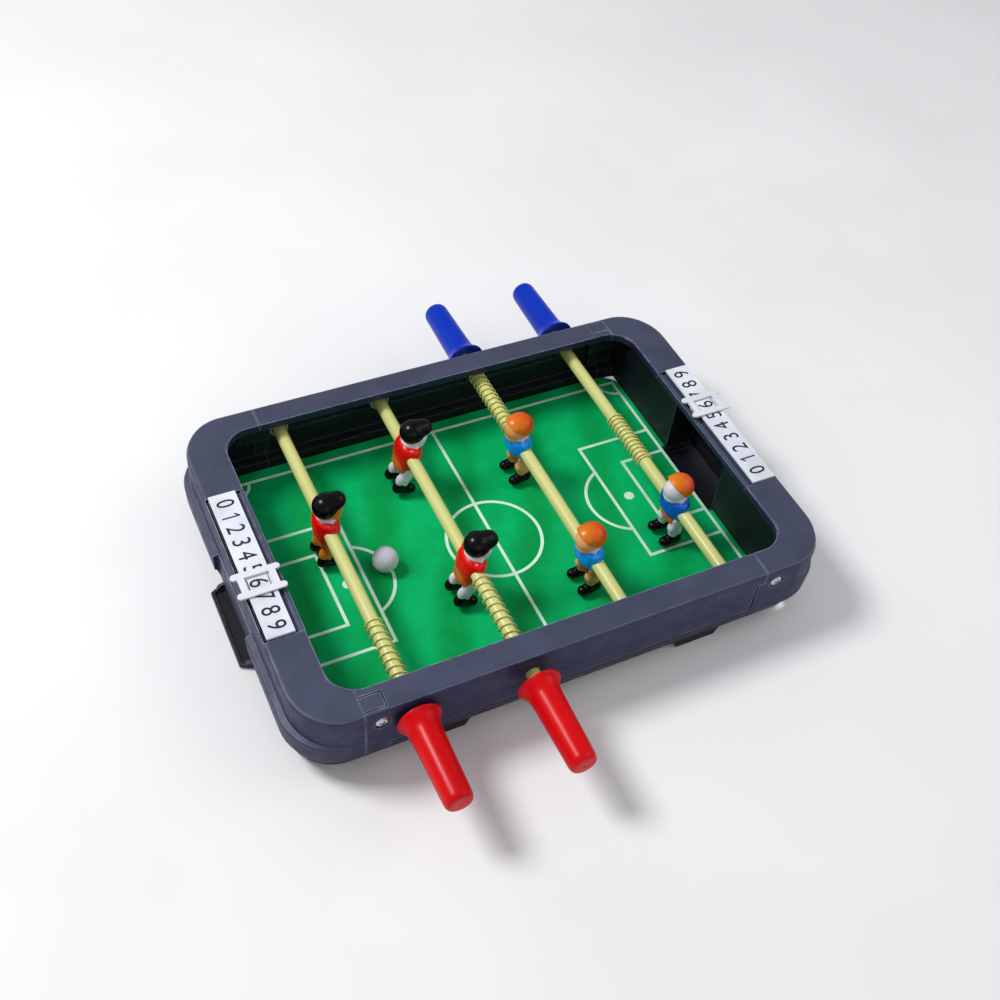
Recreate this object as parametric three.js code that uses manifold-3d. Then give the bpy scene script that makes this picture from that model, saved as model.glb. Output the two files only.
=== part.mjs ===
// Tabletop foosball: a four-piece snap-together frame around a printed pitch, with four spring-backed
// rods, six figures, two goals with sliding score markers, and two balls.
//
// Millimetres. +X runs along the pitch from the left goal to the right one, +Y runs along the rods away
// from the player in front, and +Z is up. The origin is on the ground under the centre of the pitch.
// The frame and all that sits on it look the same after half a turn about Z, so one front wall, one left
// end and their fittings are made, and each is placed a second time with that half turn.

import * as THREE from "three";
import { mergeVertices } from "three/addons/utils/BufferGeometryUtils.js";
import Module from "manifold-3d";

const wasm = await Module();
wasm.setup();

// ---------- driving dimensions ----------

const GAP = 0.3; // clearance between pieces that are cut to fit each other
const HALF_TURN = Math.PI;

const FRAME = {
  halfLength: 134,
  halfWidth: 92.7,
  cornerRadius: 25,
  endStep: 2.8,
  openingHalfLength: 112,
  openingHalfWidth: 79.1,
  openingRadius: 13.5,
  lowerEdge: 5,
  ledgeTop: 12,
  skirtBottom: 15.5,
  bandTop: 26,
  rimUnderside: 42.2,
  rimTop: 44.5,
  skin: 2.4,
  lipDepth: 3,
  lipThickness: 1.4,
  cornerSteps: 12,
};
const SEAM = { nearX: 104, farX: 92.3, farStepX: 87.8, farStepZ: 37, grooveWidth: 1.4, grooveDepth: 1.3 };
// The tongues at the seams: y0 to y1 is their reach inwards, z0 their underside, tab the thin plate below.
const TONGUE = {
  y0: -90,
  y1: -82.8,
  z0: 30,
  length: 9.7,
  pocketGap: 0.45,
  tabBottom: 16.5,
  tabLength: 6,
  tabDepth: 1.8,
};
const SKIRT = { stepX: 93, midBottom: 19.2 };
const FOOT = { x0: 55, x1: 76, slope: 2.5, outerInset: 5.1, innerInset: 7.5 };
const PITCH = { halfLength: 114.4, halfWidth: 84.6, top: 7, thickness: 1, notchX: 111.2, cornerRadius: 12 };
const TRAY = { bottom: 4.7, cornerRadius: 3, ribDrop: 2, ribWidth: 1.4 };

const GOAL = {
  panelX: 113,
  panelThickness: 1.8,
  mouthHalfWidth: 23.1,
  crossbarUnderside: 41,
  slotHalfLength: 42.6,
  slotFloor: 41.6,
  slotOuterX: 130.1,
  slotInnerX: 109,
  coverOuterX: 127.6,
  notchTop: 26.8,
  notchHalfTop: 24,
  notchHalfBottom: 25.5,
};
// The goal's ball catcher. The tilts are in radians, about Y.
const CATCHER = {
  halfWidth: 24,
  shoulderX: 133,
  endX: 137.5,
  endInset: 1.4,
  bottom: 0.8,
  floor: 1.2,
  wall: 1.5,
  top: 6.8,
  lipTop: 3.4,
  lipWidth: 3.2,
  lipTilt: -0.32,
  rampLength: 14,
  rampThickness: 1.4,
  rampTilt: -0.16,
};
const COVER = { floorThickness: 1.1, barThickness: 0.7, barRootThickness: 1.8, ribX0: 119, ribX1: 126 };

const PLATE = { x0: 116.1, x1: 128.8, halfLength: 42.3, bottom: 44.6, top: 45.8 };
const DIGITS = { pitch: 8.07, count: 10, shift: -0.45 };
const MARKER = {
  digit: 6,
  thickness: 1,
  barY: 5.4,
  earRadius: 1.6,
  earReach: 11.2,
  plateHalfX: 8.6,
  windowHalfX: 5.6,
  windowHalfY: 3.7,
  clipHalfY: 3,
  clipWall: 0.7,
  hookReach: 1.6,
};

const ROD = { height: 32.5, radius: 3.2, bore: 2.1, holeRadius: 3.5, pinRadius: 1.6, pinLength: 50 };
const ROD_X = [-81.2, -27.4, 27.4, 81.2];
const WALL_INNER_Y = FRAME.halfWidth - FRAME.skin;
const COLLAR = { length: 5.1, base: 1.8, radius: 5 };
const BOSS = { radius: 5.5, length: 3.6 };
// A long rib on each wall's inner face.
const WALL_RIB = { halfLength: 84, y: [-WALL_INNER_Y - 0.2, -WALL_INNER_Y + 0.9], z: [25.4, 26.4] };
const ROD_FAR_Y = 86;

const HANDLE = { length: 42.6, flangeRadius: 10.3, bodyRadius: 7.1, endRadius: 6.3, boreDepth: 25 };
const SPRING = { radius: 3.95, wire: 0.36, sides: 4, stepsPerTurn: 8 };
const SCREW = {
  nearX: 96.5,
  farX: 99.3,
  z: 35.3,
  seat: 1.5,
  headRadius: 3.2,
  headHeight: 1.4,
  shankRadius: 1.3,
  length: 7.4,
};
const BALL = { radius: 6.4 };
const BALL_1 = { x: -57.2, y: 2.6 };
const BALL_2 = { x: -119.5, y: 8, z: 10.6 };

const FIGURE = {
  headZ: 12,
  headHalfLength: 6.8,
  headHalfWidth: 6.4,
  headHalfHeight: 5.9,
  shoulderHalfWidth: 9.6,
  legY: 4.9,
  soleZ: -23.6,
};

// One row for each rod, from left to right. side is the wall the handle is at: -1 front, +1 back.
// flangeY is the handle's wall-side face, facing is the way its figures look along X, and figures gives
// their places along Y.
const RODS = [
  { side: -1, flangeY: -94.2, facing: 1, lean: 4, figures: { goalkeeper_1: 18.5 } },
  { side: -1, flangeY: -98.4, facing: 1, lean: 13, figures: { player_2_back: 48.5, player_2_front: -27.5 } },
  { side: 1, flangeY: 98.4, facing: -1, lean: 4, figures: { player_3_back: 34, player_3_front: -42.3 } },
  { side: 1, flangeY: 98.4, facing: -1, lean: 0, figures: { goalkeeper_4: -30.6 } },
];
// Each spring's free end and wall-side end along Y.
const SPRINGS = [
  { free: -41.7, seat: -86.2 },
  { free: -38, seat: -86.2 },
  { free: 44.4, seat: 86.2 },
  { free: -1.2, seat: 31.6 },
];

const FINISH = {
  frame: { color: 0x46465a, roughness: 0.55, metalness: 0 },
  dark: { color: 0x1c1c28, roughness: 0.6, metalness: 0 },
  pitch: { color: 0x00964a, roughness: 0.5, metalness: 0 },
  white: { color: 0xe2e6ec, roughness: 0.4, metalness: 0 },
  rod: { color: 0xe6dc8c, roughness: 0.35, metalness: 0 },
  red: { color: 0xd70000, roughness: 0.3, metalness: 0 },
  blue: { color: 0x0050c8, roughness: 0.3, metalness: 0 },
  steel: { color: 0xb8bcc2, roughness: 0.25, metalness: 1 },
  collar: { color: 0x8a8c92, roughness: 0.5, metalness: 0 },
};

// ---------- solids ----------

function solid(geometry) {
  const g = geometry.clone();
  g.deleteAttribute("normal");
  g.deleteAttribute("uv");
  const merged = mergeVertices(g, 1e-4);
  return new wasm.Manifold(
    new wasm.Mesh({
      numProp: 3,
      vertProperties: merged.attributes.position.array,
      triVerts: new Uint32Array(merged.index.array),
    }),
  );
}

function geometryOf(manifold) {
  const mesh = manifold.getMesh();
  const g = new THREE.BufferGeometry();
  g.setAttribute("position", new THREE.BufferAttribute(mesh.vertProperties, 3));
  g.setIndex(new THREE.BufferAttribute(mesh.triVerts, 1));
  const flat = g.toNonIndexed();
  flat.computeVertexNormals();
  return flat;
}

const union = (solids) => solids.reduce((a, b) => a.add(b));
const cut = (body, tools) => tools.reduce((a, b) => a.subtract(b), body);

function box([x0, x1], [y0, y1], [z0, z1]) {
  const g = new THREE.BoxGeometry(x1 - x0, y1 - y0, z1 - z0);
  g.translate((x0 + x1) / 2, (y0 + y1) / 2, (z0 + z1) / 2);
  return solid(g);
}

// A round bar or bore along Y, from y0 to y1.
function roundY(radius, y0, y1, x, z, segments = 24) {
  const g = new THREE.CylinderGeometry(radius, radius, Math.abs(y1 - y0), segments);
  g.translate(x, (y0 + y1) / 2, z);
  return solid(g);
}

// A solid turned about Y. The profile holds [radius, y] pairs and starts and ends on the axis.
function turnedY(profile, segments = 24) {
  const points = profile.map(([r, y]) => new THREE.Vector2(r, y));
  return solid(new THREE.LatheGeometry(points, segments));
}

// A flat outline in the XY plane raised from z0 to z1.
function prism(points, z0, z1) {
  const shape = new THREE.Shape(points.map(([x, y]) => new THREE.Vector2(x, y)));
  const g = new THREE.ExtrudeGeometry(shape, { depth: z1 - z0, bevelEnabled: false });
  g.translate(0, 0, z0);
  return solid(g);
}

// An outline in the YZ plane carried along X from x0 to x1.
function prismX(points, x0, x1) {
  const shape = new THREE.Shape(points.map(([y, z]) => new THREE.Vector2(y, z)));
  const g = new THREE.ExtrudeGeometry(shape, { depth: x1 - x0, bevelEnabled: false });
  g.rotateX(Math.PI / 2).rotateZ(Math.PI / 2).translate(x0, 0, 0);
  return solid(g);
}

// An outline in the XZ plane carried along Y from y0 down to y0 - depth.
function prismY(points, y0, depth) {
  const shape = new THREE.Shape(points.map(([x, z]) => new THREE.Vector2(x, z)));
  const g = new THREE.ExtrudeGeometry(shape, { depth, bevelEnabled: false });
  g.rotateX(Math.PI / 2).translate(0, y0, 0);
  return solid(g);
}

const sorted = (a, b) => (a < b ? [a, b] : [b, a]);

function roundedRectangle(halfX, halfY, radius, steps = FRAME.cornerSteps) {
  const points = [];
  for (let corner = 0; corner < 4; corner++) {
    const cx = (halfX - radius) * (corner === 0 || corner === 3 ? 1 : -1);
    const cy = (halfY - radius) * (corner < 2 ? 1 : -1);
    for (let i = 0; i <= steps; i++) {
      const a = ((corner + i / steps) * Math.PI) / 2;
      points.push([cx + radius * Math.cos(a), cy + radius * Math.sin(a), Math.cos(a), Math.sin(a)]);
    }
  }
  return points;
}

function ellipsoid([x, y, z], [rx, ry, rz], columns = 9, rows = 6) {
  const g = new THREE.SphereGeometry(1, columns, rows);
  g.scale(rx, ry, rz).translate(x, y, z);
  return solid(g);
}

// A straight limb between two points, with radius r0 at the first and r1 at the second.
function limb(from, to, r0, r1, segments = 6) {
  const a = new THREE.Vector3(...from);
  const b = new THREE.Vector3(...to);
  const g = new THREE.CylinderGeometry(r1, r0, a.distanceTo(b), segments);
  const along = b.clone().sub(a).normalize();
  g.applyQuaternion(new THREE.Quaternion().setFromUnitVectors(new THREE.Vector3(0, 1, 0), along));
  const middle = a.add(b).multiplyScalar(0.5);
  g.translate(middle.x, middle.y, middle.z);
  return solid(g);
}

// ---------- scene graph ----------

const root = new THREE.Group();
root.name = "tabletop_foosball";

function addMesh(name, body, finish) {
  const mesh = new THREE.Mesh(geometryOf(body), new THREE.MeshStandardMaterial(FINISH[finish]));
  mesh.name = name;
  root.add(mesh);
  return mesh;
}

// Adds a body as made, and a second copy of it turned half way round the table.
function addPair(firstName, secondName, body, finish) {
  addMesh(firstName, body, finish);
  addMesh(secondName, body, finish).rotation.z = HALF_TURN;
}

// ---------- frame ----------

// The frame's wall and rim before it is split, as one closed ring: a section carried round the outline.
// Each section point is [inset on the ends, inset on the sides, height].
function frameRing() {
  const { lowerEdge, ledgeTop, skirtBottom, bandTop, rimUnderside, rimTop, skin, endStep } = FRAME;
  const rimInset = 19;
  const section = [
    [endStep + 2.6, 2.6, rimTop],
    [endStep + 1.2, 1.2, rimTop - 0.6],
    [endStep + 0.5, 0.5, rimTop - 2.2],
    [endStep + 0.4, 0.4, bandTop + 0.8],
    [endStep - 0.3, 0.2, bandTop + 0.4],
    [0.7, 0, bandTop],
    [0, 0, bandTop - 1],
    [0.4, 0.4, skirtBottom],
    [1.4, 1.6, skirtBottom - 0.8],
    [endStep + 1.2, 5.1, lowerEdge],
    [endStep + 3.6, 7.6, lowerEdge],
    [endStep + 3.6, 7.6, ledgeTop],
    [endStep + 3.2, 3.2, ledgeTop + 1],
    [endStep + skin, skin, ledgeTop + 4],
    [endStep + skin, skin, rimUnderside],
    [endStep + rimInset, rimInset, rimUnderside],
    [endStep + rimInset, rimInset, rimTop],
  ];
  const outline = roundedRectangle(FRAME.halfLength, FRAME.halfWidth, FRAME.cornerRadius);
  const positions = [];
  for (const [x, y, nx, ny] of outline) {
    for (const [insetX, insetY, z] of section) positions.push(x - nx * insetX, y - ny * insetY, z);
  }
  const index = [];
  const n = section.length;
  for (let i = 0; i < outline.length; i++) {
    const next = (i + 1) % outline.length;
    for (let j = 0; j < n; j++) {
      const k = (j + 1) % n;
      index.push(i * n + j, i * n + k, next * n + k, i * n + j, next * n + k, next * n + j);
    }
  }
  const g = new THREE.BufferGeometry();
  g.setAttribute("position", new THREE.Float32BufferAttribute(positions, 3));
  g.setIndex(index);
  return solid(g);
}

function frameShell() {
  const { openingHalfLength: ox, openingHalfWidth: oy, openingRadius: r, rimTop, lipDepth } = FRAME;
  const opening = prism(roundedRectangle(ox, oy, r), 0, rimTop + 1);
  const t = FRAME.lipThickness;
  const lip = prism(roundedRectangle(ox + t, oy + t, r + t), rimTop - 1 - lipDepth, rimTop - 0.5);
  return frameRing().add(lip).subtract(opening);
}

// A trapezoid foot under the front wall.
function foot(centreX) {
  const half = (FOOT.x1 - FOOT.x0) / 2;
  const top = FRAME.lowerEdge + 1;
  const outline = [
    [centreX - half, 0],
    [centreX + half, 0],
    [centreX + half + FOOT.slope, top],
    [centreX - half - FOOT.slope, top],
  ];
  return prismY(outline, FOOT.innerInset - FRAME.halfWidth, FOOT.innerInset - FOOT.outerInset);
}

// Two joints tie a wall to the end frames. At the near joint the end frame's tongue fills a pocket cut in
// the wall's rim. At the far joint the wall's tongue runs on under the end frame's rim.
function seamCutters() {
  const { nearX, farX, farStepX, farStepZ } = SEAM;
  const above = FRAME.rimTop + 5;
  const outside = [-FRAME.halfWidth - 5, -60];
  const g = TONGUE.pocketGap;
  return {
    wall: union([
      box([-nearX + GAP / 2, farStepX], outside, [0, above]),
      box([0, farX - GAP / 2], outside, [farStepZ + GAP, above]),
    ]),
    pocket: box(
      [-nearX - 1, -nearX + TONGUE.length + g],
      [TONGUE.y0 - g, TONGUE.y1 + g],
      [FRAME.rimUnderside - 1, FRAME.rimTop + 1],
    ),
  };
}

// The thin plate that closes a seam from inside, below its tongue. It is fixed to one side from x0 to
// seamX and reaches past the seam.
function seamTab(x0, seamX) {
  const z = [TONGUE.tabBottom, TONGUE.z0 + 1];
  const inner = TONGUE.y0 + TONGUE.tabDepth;
  return union([
    box([x0, seamX], [TONGUE.y0 - 1, inner], z),
    box([x0, seamX + TONGUE.tabLength], [TONGUE.y0, inner], z),
  ]);
}

function screwRecess(x) {
  const outer = -FRAME.halfWidth;
  return union([
    roundY(SCREW.headRadius + 0.5, outer - 1, outer + SCREW.seat, x, SCREW.z),
    roundY(SCREW.shankRadius + GAP, outer - 1, outer + 5, x, SCREW.z, 16),
  ]);
}

// The blind bore in a tongue, just deeper than the screw's tip.
function screwBore(x) {
  const tip = -FRAME.halfWidth + SCREW.seat + SCREW.length;
  return roundY(SCREW.shankRadius + GAP, -FRAME.halfWidth, tip + GAP, x, SCREW.z, 16);
}

function frontWall(shell) {
  const { halfWidth, rimUnderside, lowerEdge } = FRAME;
  const { wall, pocket } = seamCutters();
  const lowTop = rimUnderside - GAP;
  const tongueStart = ROD_X[3] + COLLAR.radius + GAP;
  const tongueEnd = SEAM.farX + TONGUE.length;
  const rootZ = [SEAM.farStepZ + 1, rimUnderside + 1];
  const farTongue = union([
    box([tongueStart, SEAM.farX - GAP], [TONGUE.y0 - 1, TONGUE.y1], rootZ),
    box([tongueStart, tongueEnd], [TONGUE.y0, TONGUE.y1], [TONGUE.z0, lowTop]),
    seamTab(tongueStart, SEAM.farStepX),
  ]);
  const rodX = [ROD_X[0], ROD_X[1]];
  const bosses = rodX.map((x) =>
    roundY(BOSS.radius, -WALL_INNER_Y - 0.5, -WALL_INNER_Y + BOSS.length, x, ROD.height),
  );
  const footX = (FOOT.x0 + FOOT.x1) / 2;
  const rib = box([-WALL_RIB.halfLength, WALL_RIB.halfLength], WALL_RIB.y, WALL_RIB.z);
  const body = union([shell.intersect(wall), farTongue, rib, ...bosses, foot(-footX), foot(footX)]);
  const holes = rodX.map((x) => roundY(ROD.holeRadius, -95, -80, x, ROD.height));
  // Between the corners the skirt is shallower.
  const underSkirt = box(
    [-SKIRT.stepX, SKIRT.stepX],
    [-halfWidth - 1, -halfWidth + 1.5],
    [lowerEdge, SKIRT.midBottom],
  );
  return cut(body, [pocket, underSkirt, ...holes, screwRecess(-SCREW.nearX), screwBore(SCREW.farX)]);
}

function endFrame(shell) {
  const { halfLength, halfWidth, skin, lowerEdge, ledgeTop, rimUnderside, rimTop, lipDepth, endStep } = FRAME;
  const { panelX, panelThickness, mouthHalfWidth: mouth, slotHalfLength: slotHalf } = GOAL;
  const { nearX, farX, farStepX, farStepZ, grooveWidth, grooveDepth } = SEAM;
  const high = [0, rimTop + 5];
  const outerX = -halfLength - 5;
  // The left end: all of the ring beyond the near joint in front and the far joint at the back.
  // Inside the skin, and below the tabs, it meets the walls without a gap.
  const innerY = halfWidth - skin + 0.2;
  const belowTab = [0, TONGUE.tabBottom];
  const region = union([
    box([outerX, -nearX - GAP / 2], [-halfWidth - 5, halfWidth + 5], high),
    box([outerX, -farX - GAP / 2], [60, halfWidth + 5], high),
    box([-halfLength, -farStepX - GAP], [60, halfWidth + 5], [0, farStepZ]),
    box([outerX, -nearX + GAP / 2], [-innerY, -60], belowTab),
    box([outerX, -farStepX], [60, innerY], belowTab),
  ]);
  const wallZ = [PITCH.top + GAP, rimUnderside + 0.5];
  const panelAt = (halfY, z) => box([-panelX - panelThickness, -panelX], [-halfY, halfY], z);
  // The goal wall widens with the frame's own section, so it stays behind the skirt.
  const panel = union([
    panelAt(halfWidth - 7, wallZ),
    panelAt(halfWidth - 4.2, [ledgeTop, wallZ[1]]),
    panelAt(innerY, [TONGUE.tabBottom, wallZ[1]]),
  ]);
  const cheeks = [-1, 1].map((s) => {
    const y = sorted(s * mouth, s * (mouth + panelThickness));
    return box([-halfLength + endStep + 1, -panelX - 0.5], y, wallZ);
  });
  const tongue = union([
    box([-112, -nearX - GAP / 2], [TONGUE.y0 - 1, TONGUE.y1], [TONGUE.z0, rimUnderside + 1]),
    box([-nearX - 1, -nearX + TONGUE.length], [TONGUE.y0, TONGUE.y1], [TONGUE.z0, rimTop - 0.2]),
    seamTab(-112, -nearX - GAP / 2),
  ]);
  const mouthCut = box([-panelX - panelThickness - 1, -panelX + 1], [-mouth, mouth], [0, rimTop]);
  const slotY = [-slotHalf, slotHalf];
  const slot = box([-GOAL.slotOuterX, -GOAL.slotInnerX], slotY, [GOAL.slotFloor, rimTop + 1]);
  const barSlot = box([-panelX, -GOAL.slotInnerX], slotY, [rimTop - 2 - lipDepth, rimTop + 1]);
  // The band stops each side of the goal, and the ball catcher passes under the wall there.
  const notchOutline = [
    [-GOAL.notchHalfBottom, lowerEdge - 1],
    [GOAL.notchHalfBottom, lowerEdge - 1],
    [GOAL.notchHalfTop, GOAL.notchTop],
    [-GOAL.notchHalfTop, GOAL.notchTop],
  ];
  const notch = prismX(notchOutline, -halfLength - 1, -halfLength + endStep);
  const gateHalf = CATCHER.halfWidth + GAP;
  const gate = box([-halfLength - 1, -panelX - 1], [-gateHalf, gateHalf], [0, wallZ[0]]);
  const groove = box(
    [-farStepX - grooveWidth, -farStepX],
    [halfWidth - grooveDepth, halfWidth + 1],
    [0, farStepZ + 1],
  );
  // Screw holes: into its own tongue in front, and through its skin over the wall's tongue at the back.
  const backRecess = screwRecess(SCREW.farX).rotate([0, 0, 180]);
  const body = union([shell.intersect(region), panel, ...cheeks, tongue]);
  return cut(body, [mouthCut, slot, barSlot, notch, gate, groove, screwBore(-SCREW.nearX), backRecess]);
}

// ---------- pitch and its tray ----------

function pitchSheet() {
  const { halfLength, halfWidth, top, thickness, notchX } = PITCH;
  const half = GOAL.mouthHalfWidth + 1.3;
  const sheet = prism(roundedRectangle(halfLength, halfWidth, PITCH.cornerRadius, 5), top - thickness, top);
  const notches = [-1, 1].map((s) =>
    box(sorted(s * notchX, s * (halfLength + 1)), [-half, half], [0, top + 1]),
  );
  return cut(sheet, notches);
}

function baseTray() {
  const { bottom, ribDrop, ribWidth } = TRAY;
  const top = PITCH.top - PITCH.thickness - 0.1;
  const halfX = GOAL.panelX - 2.5;
  const floor = prism(roundedRectangle(halfX, PITCH.halfWidth, TRAY.cornerRadius, 5), bottom, top);
  const ribs = [-50, 0, 50].map((y) =>
    box([-halfX + 4, halfX - 4], [y - ribWidth / 2, y + ribWidth / 2], [bottom - ribDrop, bottom + 0.2]),
  );
  const crossRibs = [-70, 0, 70].map((x) =>
    box([x - ribWidth / 2, x + ribWidth / 2], [-76, 76], [bottom - ribDrop, bottom + 0.2]),
  );
  return union([floor, ...ribs, ...crossRibs]);
}

// ---------- goals ----------

// The left ball catcher: a shallow tray that starts under the mouth and stands out past the end frame.
function goalBox() {
  const { halfWidth, shoulderX, endX, endInset, bottom, wall, top, lipTop, lipWidth } = CATCHER;
  const inX = PITCH.notchX + GAP;
  const floorTop = bottom + CATCHER.floor;
  const plan = (inset) => [
    [-inX - inset, -halfWidth + inset],
    [-shoulderX + inset / 2, -halfWidth + inset],
    [-endX + inset, -halfWidth + 0.9 + endInset + inset / 2],
    [-endX + inset, halfWidth - 0.9 - endInset - inset / 2],
    [-shoulderX + inset / 2, halfWidth - inset],
    [-inX - inset, halfWidth - inset],
  ];
  const block = prism(plan(0), bottom, top);
  const hollow = prism(plan(wall), floorTop, top + 1);
  const openHalf = halfWidth - 1.2;
  const mouthSide = box([-inX - 3, -inX + 1], [-openHalf, openHalf], [floorTop, top + 1]);
  // The outer lip slopes down to its low front edge.
  const slope = new THREE.BoxGeometry(16, 3 * halfWidth, 10);
  slope.translate(-8, 0, 5).rotateY(CATCHER.lipTilt);
  slope.translate(-shoulderX + 5.5, 0, top - 0.2);
  const low = box([-endX - 1, -endX + lipWidth], [-halfWidth, halfWidth], [lipTop, top + 1]);
  // A ramp carries the ball off the pitch and down to the floor.
  const ramp = new THREE.BoxGeometry(CATCHER.rampLength, 2 * openHalf, CATCHER.rampThickness);
  ramp.rotateY(CATCHER.rampTilt);
  ramp.translate(-inX - CATCHER.rampLength / 2 - 1, 0, floorTop - 0.1);
  return cut(block, [hollow, mouthSide, solid(slope), low]).add(solid(ramp));
}

// The left goal cover: crossbar, floor and rib in the end frame's slot, under the score plate.
function goalCover() {
  const { floorThickness, barThickness, barRootThickness, ribX0, ribX1 } = COVER;
  const span = [-GOAL.slotHalfLength + GAP, GOAL.slotHalfLength - GAP];
  const floor = [GOAL.slotFloor + GAP, GOAL.slotFloor + GAP + floorThickness];
  const barTop = FRAME.rimTop - GAP;
  const barX = -FRAME.openingHalfLength;
  const barFace = barX + 0.2;
  return union([
    box([-GOAL.coverOuterX, barX], span, floor),
    box([barX - barThickness, barFace], span, [GOAL.crossbarUnderside, barTop]),
    box([barX - barRootThickness, barFace], span, [floor[0], barTop]),
    box([-ribX1, -ribX0], span, [floor[1] - 0.5, PLATE.bottom - GAP]),
  ]);
}

function scorePlate() {
  const { x0, x1, halfLength, bottom, top } = PLATE;
  return box([-x1, -x0], [-halfLength, halfLength], [bottom, top]);
}

// The left score marker: a windowed plate with four ears, clipped round the score plate's two long edges.
function scoreMarker() {
  const { thickness, barY, earRadius, earReach, plateHalfX, windowHalfX, windowHalfY } = MARKER;
  const y = DIGITS.shift + DIGITS.pitch * ((DIGITS.count - 1) / 2 - MARKER.digit);
  const middleX = -(PLATE.x0 + PLATE.x1) / 2;
  const z = [PLATE.top + GAP, PLATE.top + GAP + thickness];
  const across = (half) => [middleX - half, middleX + half];
  const along = (half) => [y - half, y + half];
  const earX = earReach - earRadius;
  const bars = [-1, 1].map((s) => {
    const yBar = y + s * barY;
    const ears = across(earX).map((x) => {
      const g = new THREE.CylinderGeometry(earRadius, earRadius, thickness, 12);
      g.rotateX(Math.PI / 2).translate(x, yBar, (z[0] + z[1]) / 2);
      return solid(g);
    });
    return union([...ears, box(across(earX), [yBar - earRadius, yBar + earRadius], z)]);
  });
  const plate = box(across(plateHalfX), along(barY + 0.2), z);
  const window = box(across(windowHalfX), along(windowHalfY), [z[0] - 1, z[1] + 1]);
  const { clipHalfY, clipWall, hookReach } = MARKER;
  const hookTop = PLATE.bottom - GAP;
  const hookBottom = hookTop - 0.9;
  const clips = [-1, 1].map((s) => {
    const edge = middleX + s * ((PLATE.x1 - PLATE.x0) / 2 + GAP);
    const outer = edge + s * clipWall;
    return union([
      box(sorted(edge, outer), along(clipHalfY), [hookBottom, z[0] + 0.2]),
      box(sorted(edge - s * hookReach, outer), along(clipHalfY), [hookBottom, hookTop]),
    ]);
  });
  return cut(union([plate, ...bars]), [window]).add(union(clips));
}

// ---------- rods and what rides on them ----------

function collar(x) {
  const seat = WALL_INNER_Y - 0.2;
  const ring = roundY(COLLAR.radius, seat - COLLAR.length, seat, x, ROD.height, 16);
  const cup = roundY(ROD.radius + 0.4, seat - COLLAR.length - 1, seat - COLLAR.base, x, ROD.height, 16);
  const bore = roundY(ROD.pinRadius + 0.3, seat - COLLAR.length, seat + 1, x, ROD.height, 12);
  return cut(ring, [cup, bore]);
}

const farSide = (rod) => -rod.side;

function guidePin(rod, x) {
  const end = farSide(rod) * (WALL_INNER_Y - 0.4);
  return roundY(ROD.pinRadius, end, end - farSide(rod) * ROD.pinLength, x, ROD.height, 12);
}

function rodTube(rod, x) {
  const far = farSide(rod) * ROD_FAR_Y;
  const near = rod.flangeY + rod.side * (HANDLE.boreDepth - GAP);
  const tube = roundY(ROD.radius, far, near, x, ROD.height, 20);
  return tube.subtract(roundY(ROD.bore, far + farSide(rod), near - rod.side * 4, x, ROD.height, 16));
}

// A handle turned about Y with its flange at the origin and its body along +Y.
function handle() {
  const { length, flangeRadius: f, bodyRadius: b, endRadius: e } = HANDLE;
  const outside = [
    [0, 0],
    [f - 0.8, 0],
    [f, 0.9],
    [f - 0.5, 2],
    [b + 1.1, 4],
    [b + 0.2, 6.5],
    [b, 9],
    [e + 0.2, length - 3],
    [e - 0.8, length - 1],
    [e - 2.2, length],
    [0, length],
  ];
  return turnedY(outside, 18).subtract(roundY(ROD.holeRadius, -1, HANDLE.boreDepth, 0, 0, 12));
}

// A close spring of round wire about Y, from its free end to its seat.
function coilSpring({ free, seat }, turns = 13) {
  const { radius, wire, sides, stepsPerTurn } = SPRING;
  const steps = turns * stepsPerTurn;
  const y0 = Math.min(free, seat) + wire;
  const y1 = Math.max(free, seat) - wire;
  const positions = [];
  for (let i = 0; i <= steps; i++) {
    const a = (i / stepsPerTurn) * 2 * Math.PI;
    const y = y0 + ((y1 - y0) * i) / steps;
    for (let j = 0; j < sides; j++) {
      const b = ((j + 0.5) / sides) * 2 * Math.PI;
      const r = radius + wire * Math.cos(b);
      positions.push(r * Math.cos(a), y + wire * Math.sin(b), r * Math.sin(a));
    }
  }
  const index = [];
  for (let i = 0; i < steps; i++) {
    for (let j = 0; j < sides; j++) {
      const k = (j + 1) % sides;
      const [p, q, r, s] = [i * sides + j, i * sides + k, (i + 1) * sides + k, (i + 1) * sides + j];
      index.push(p, q, r, p, r, s);
    }
  }
  const last = steps * sides;
  for (let j = 1; j + 1 < sides; j++) {
    index.push(0, j + 1, j, last, last + j, last + j + 1);
  }
  const g = new THREE.BufferGeometry();
  g.setAttribute("position", new THREE.Float32BufferAttribute(positions, 3));
  g.setIndex(index);
  return solid(g);
}

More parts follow.
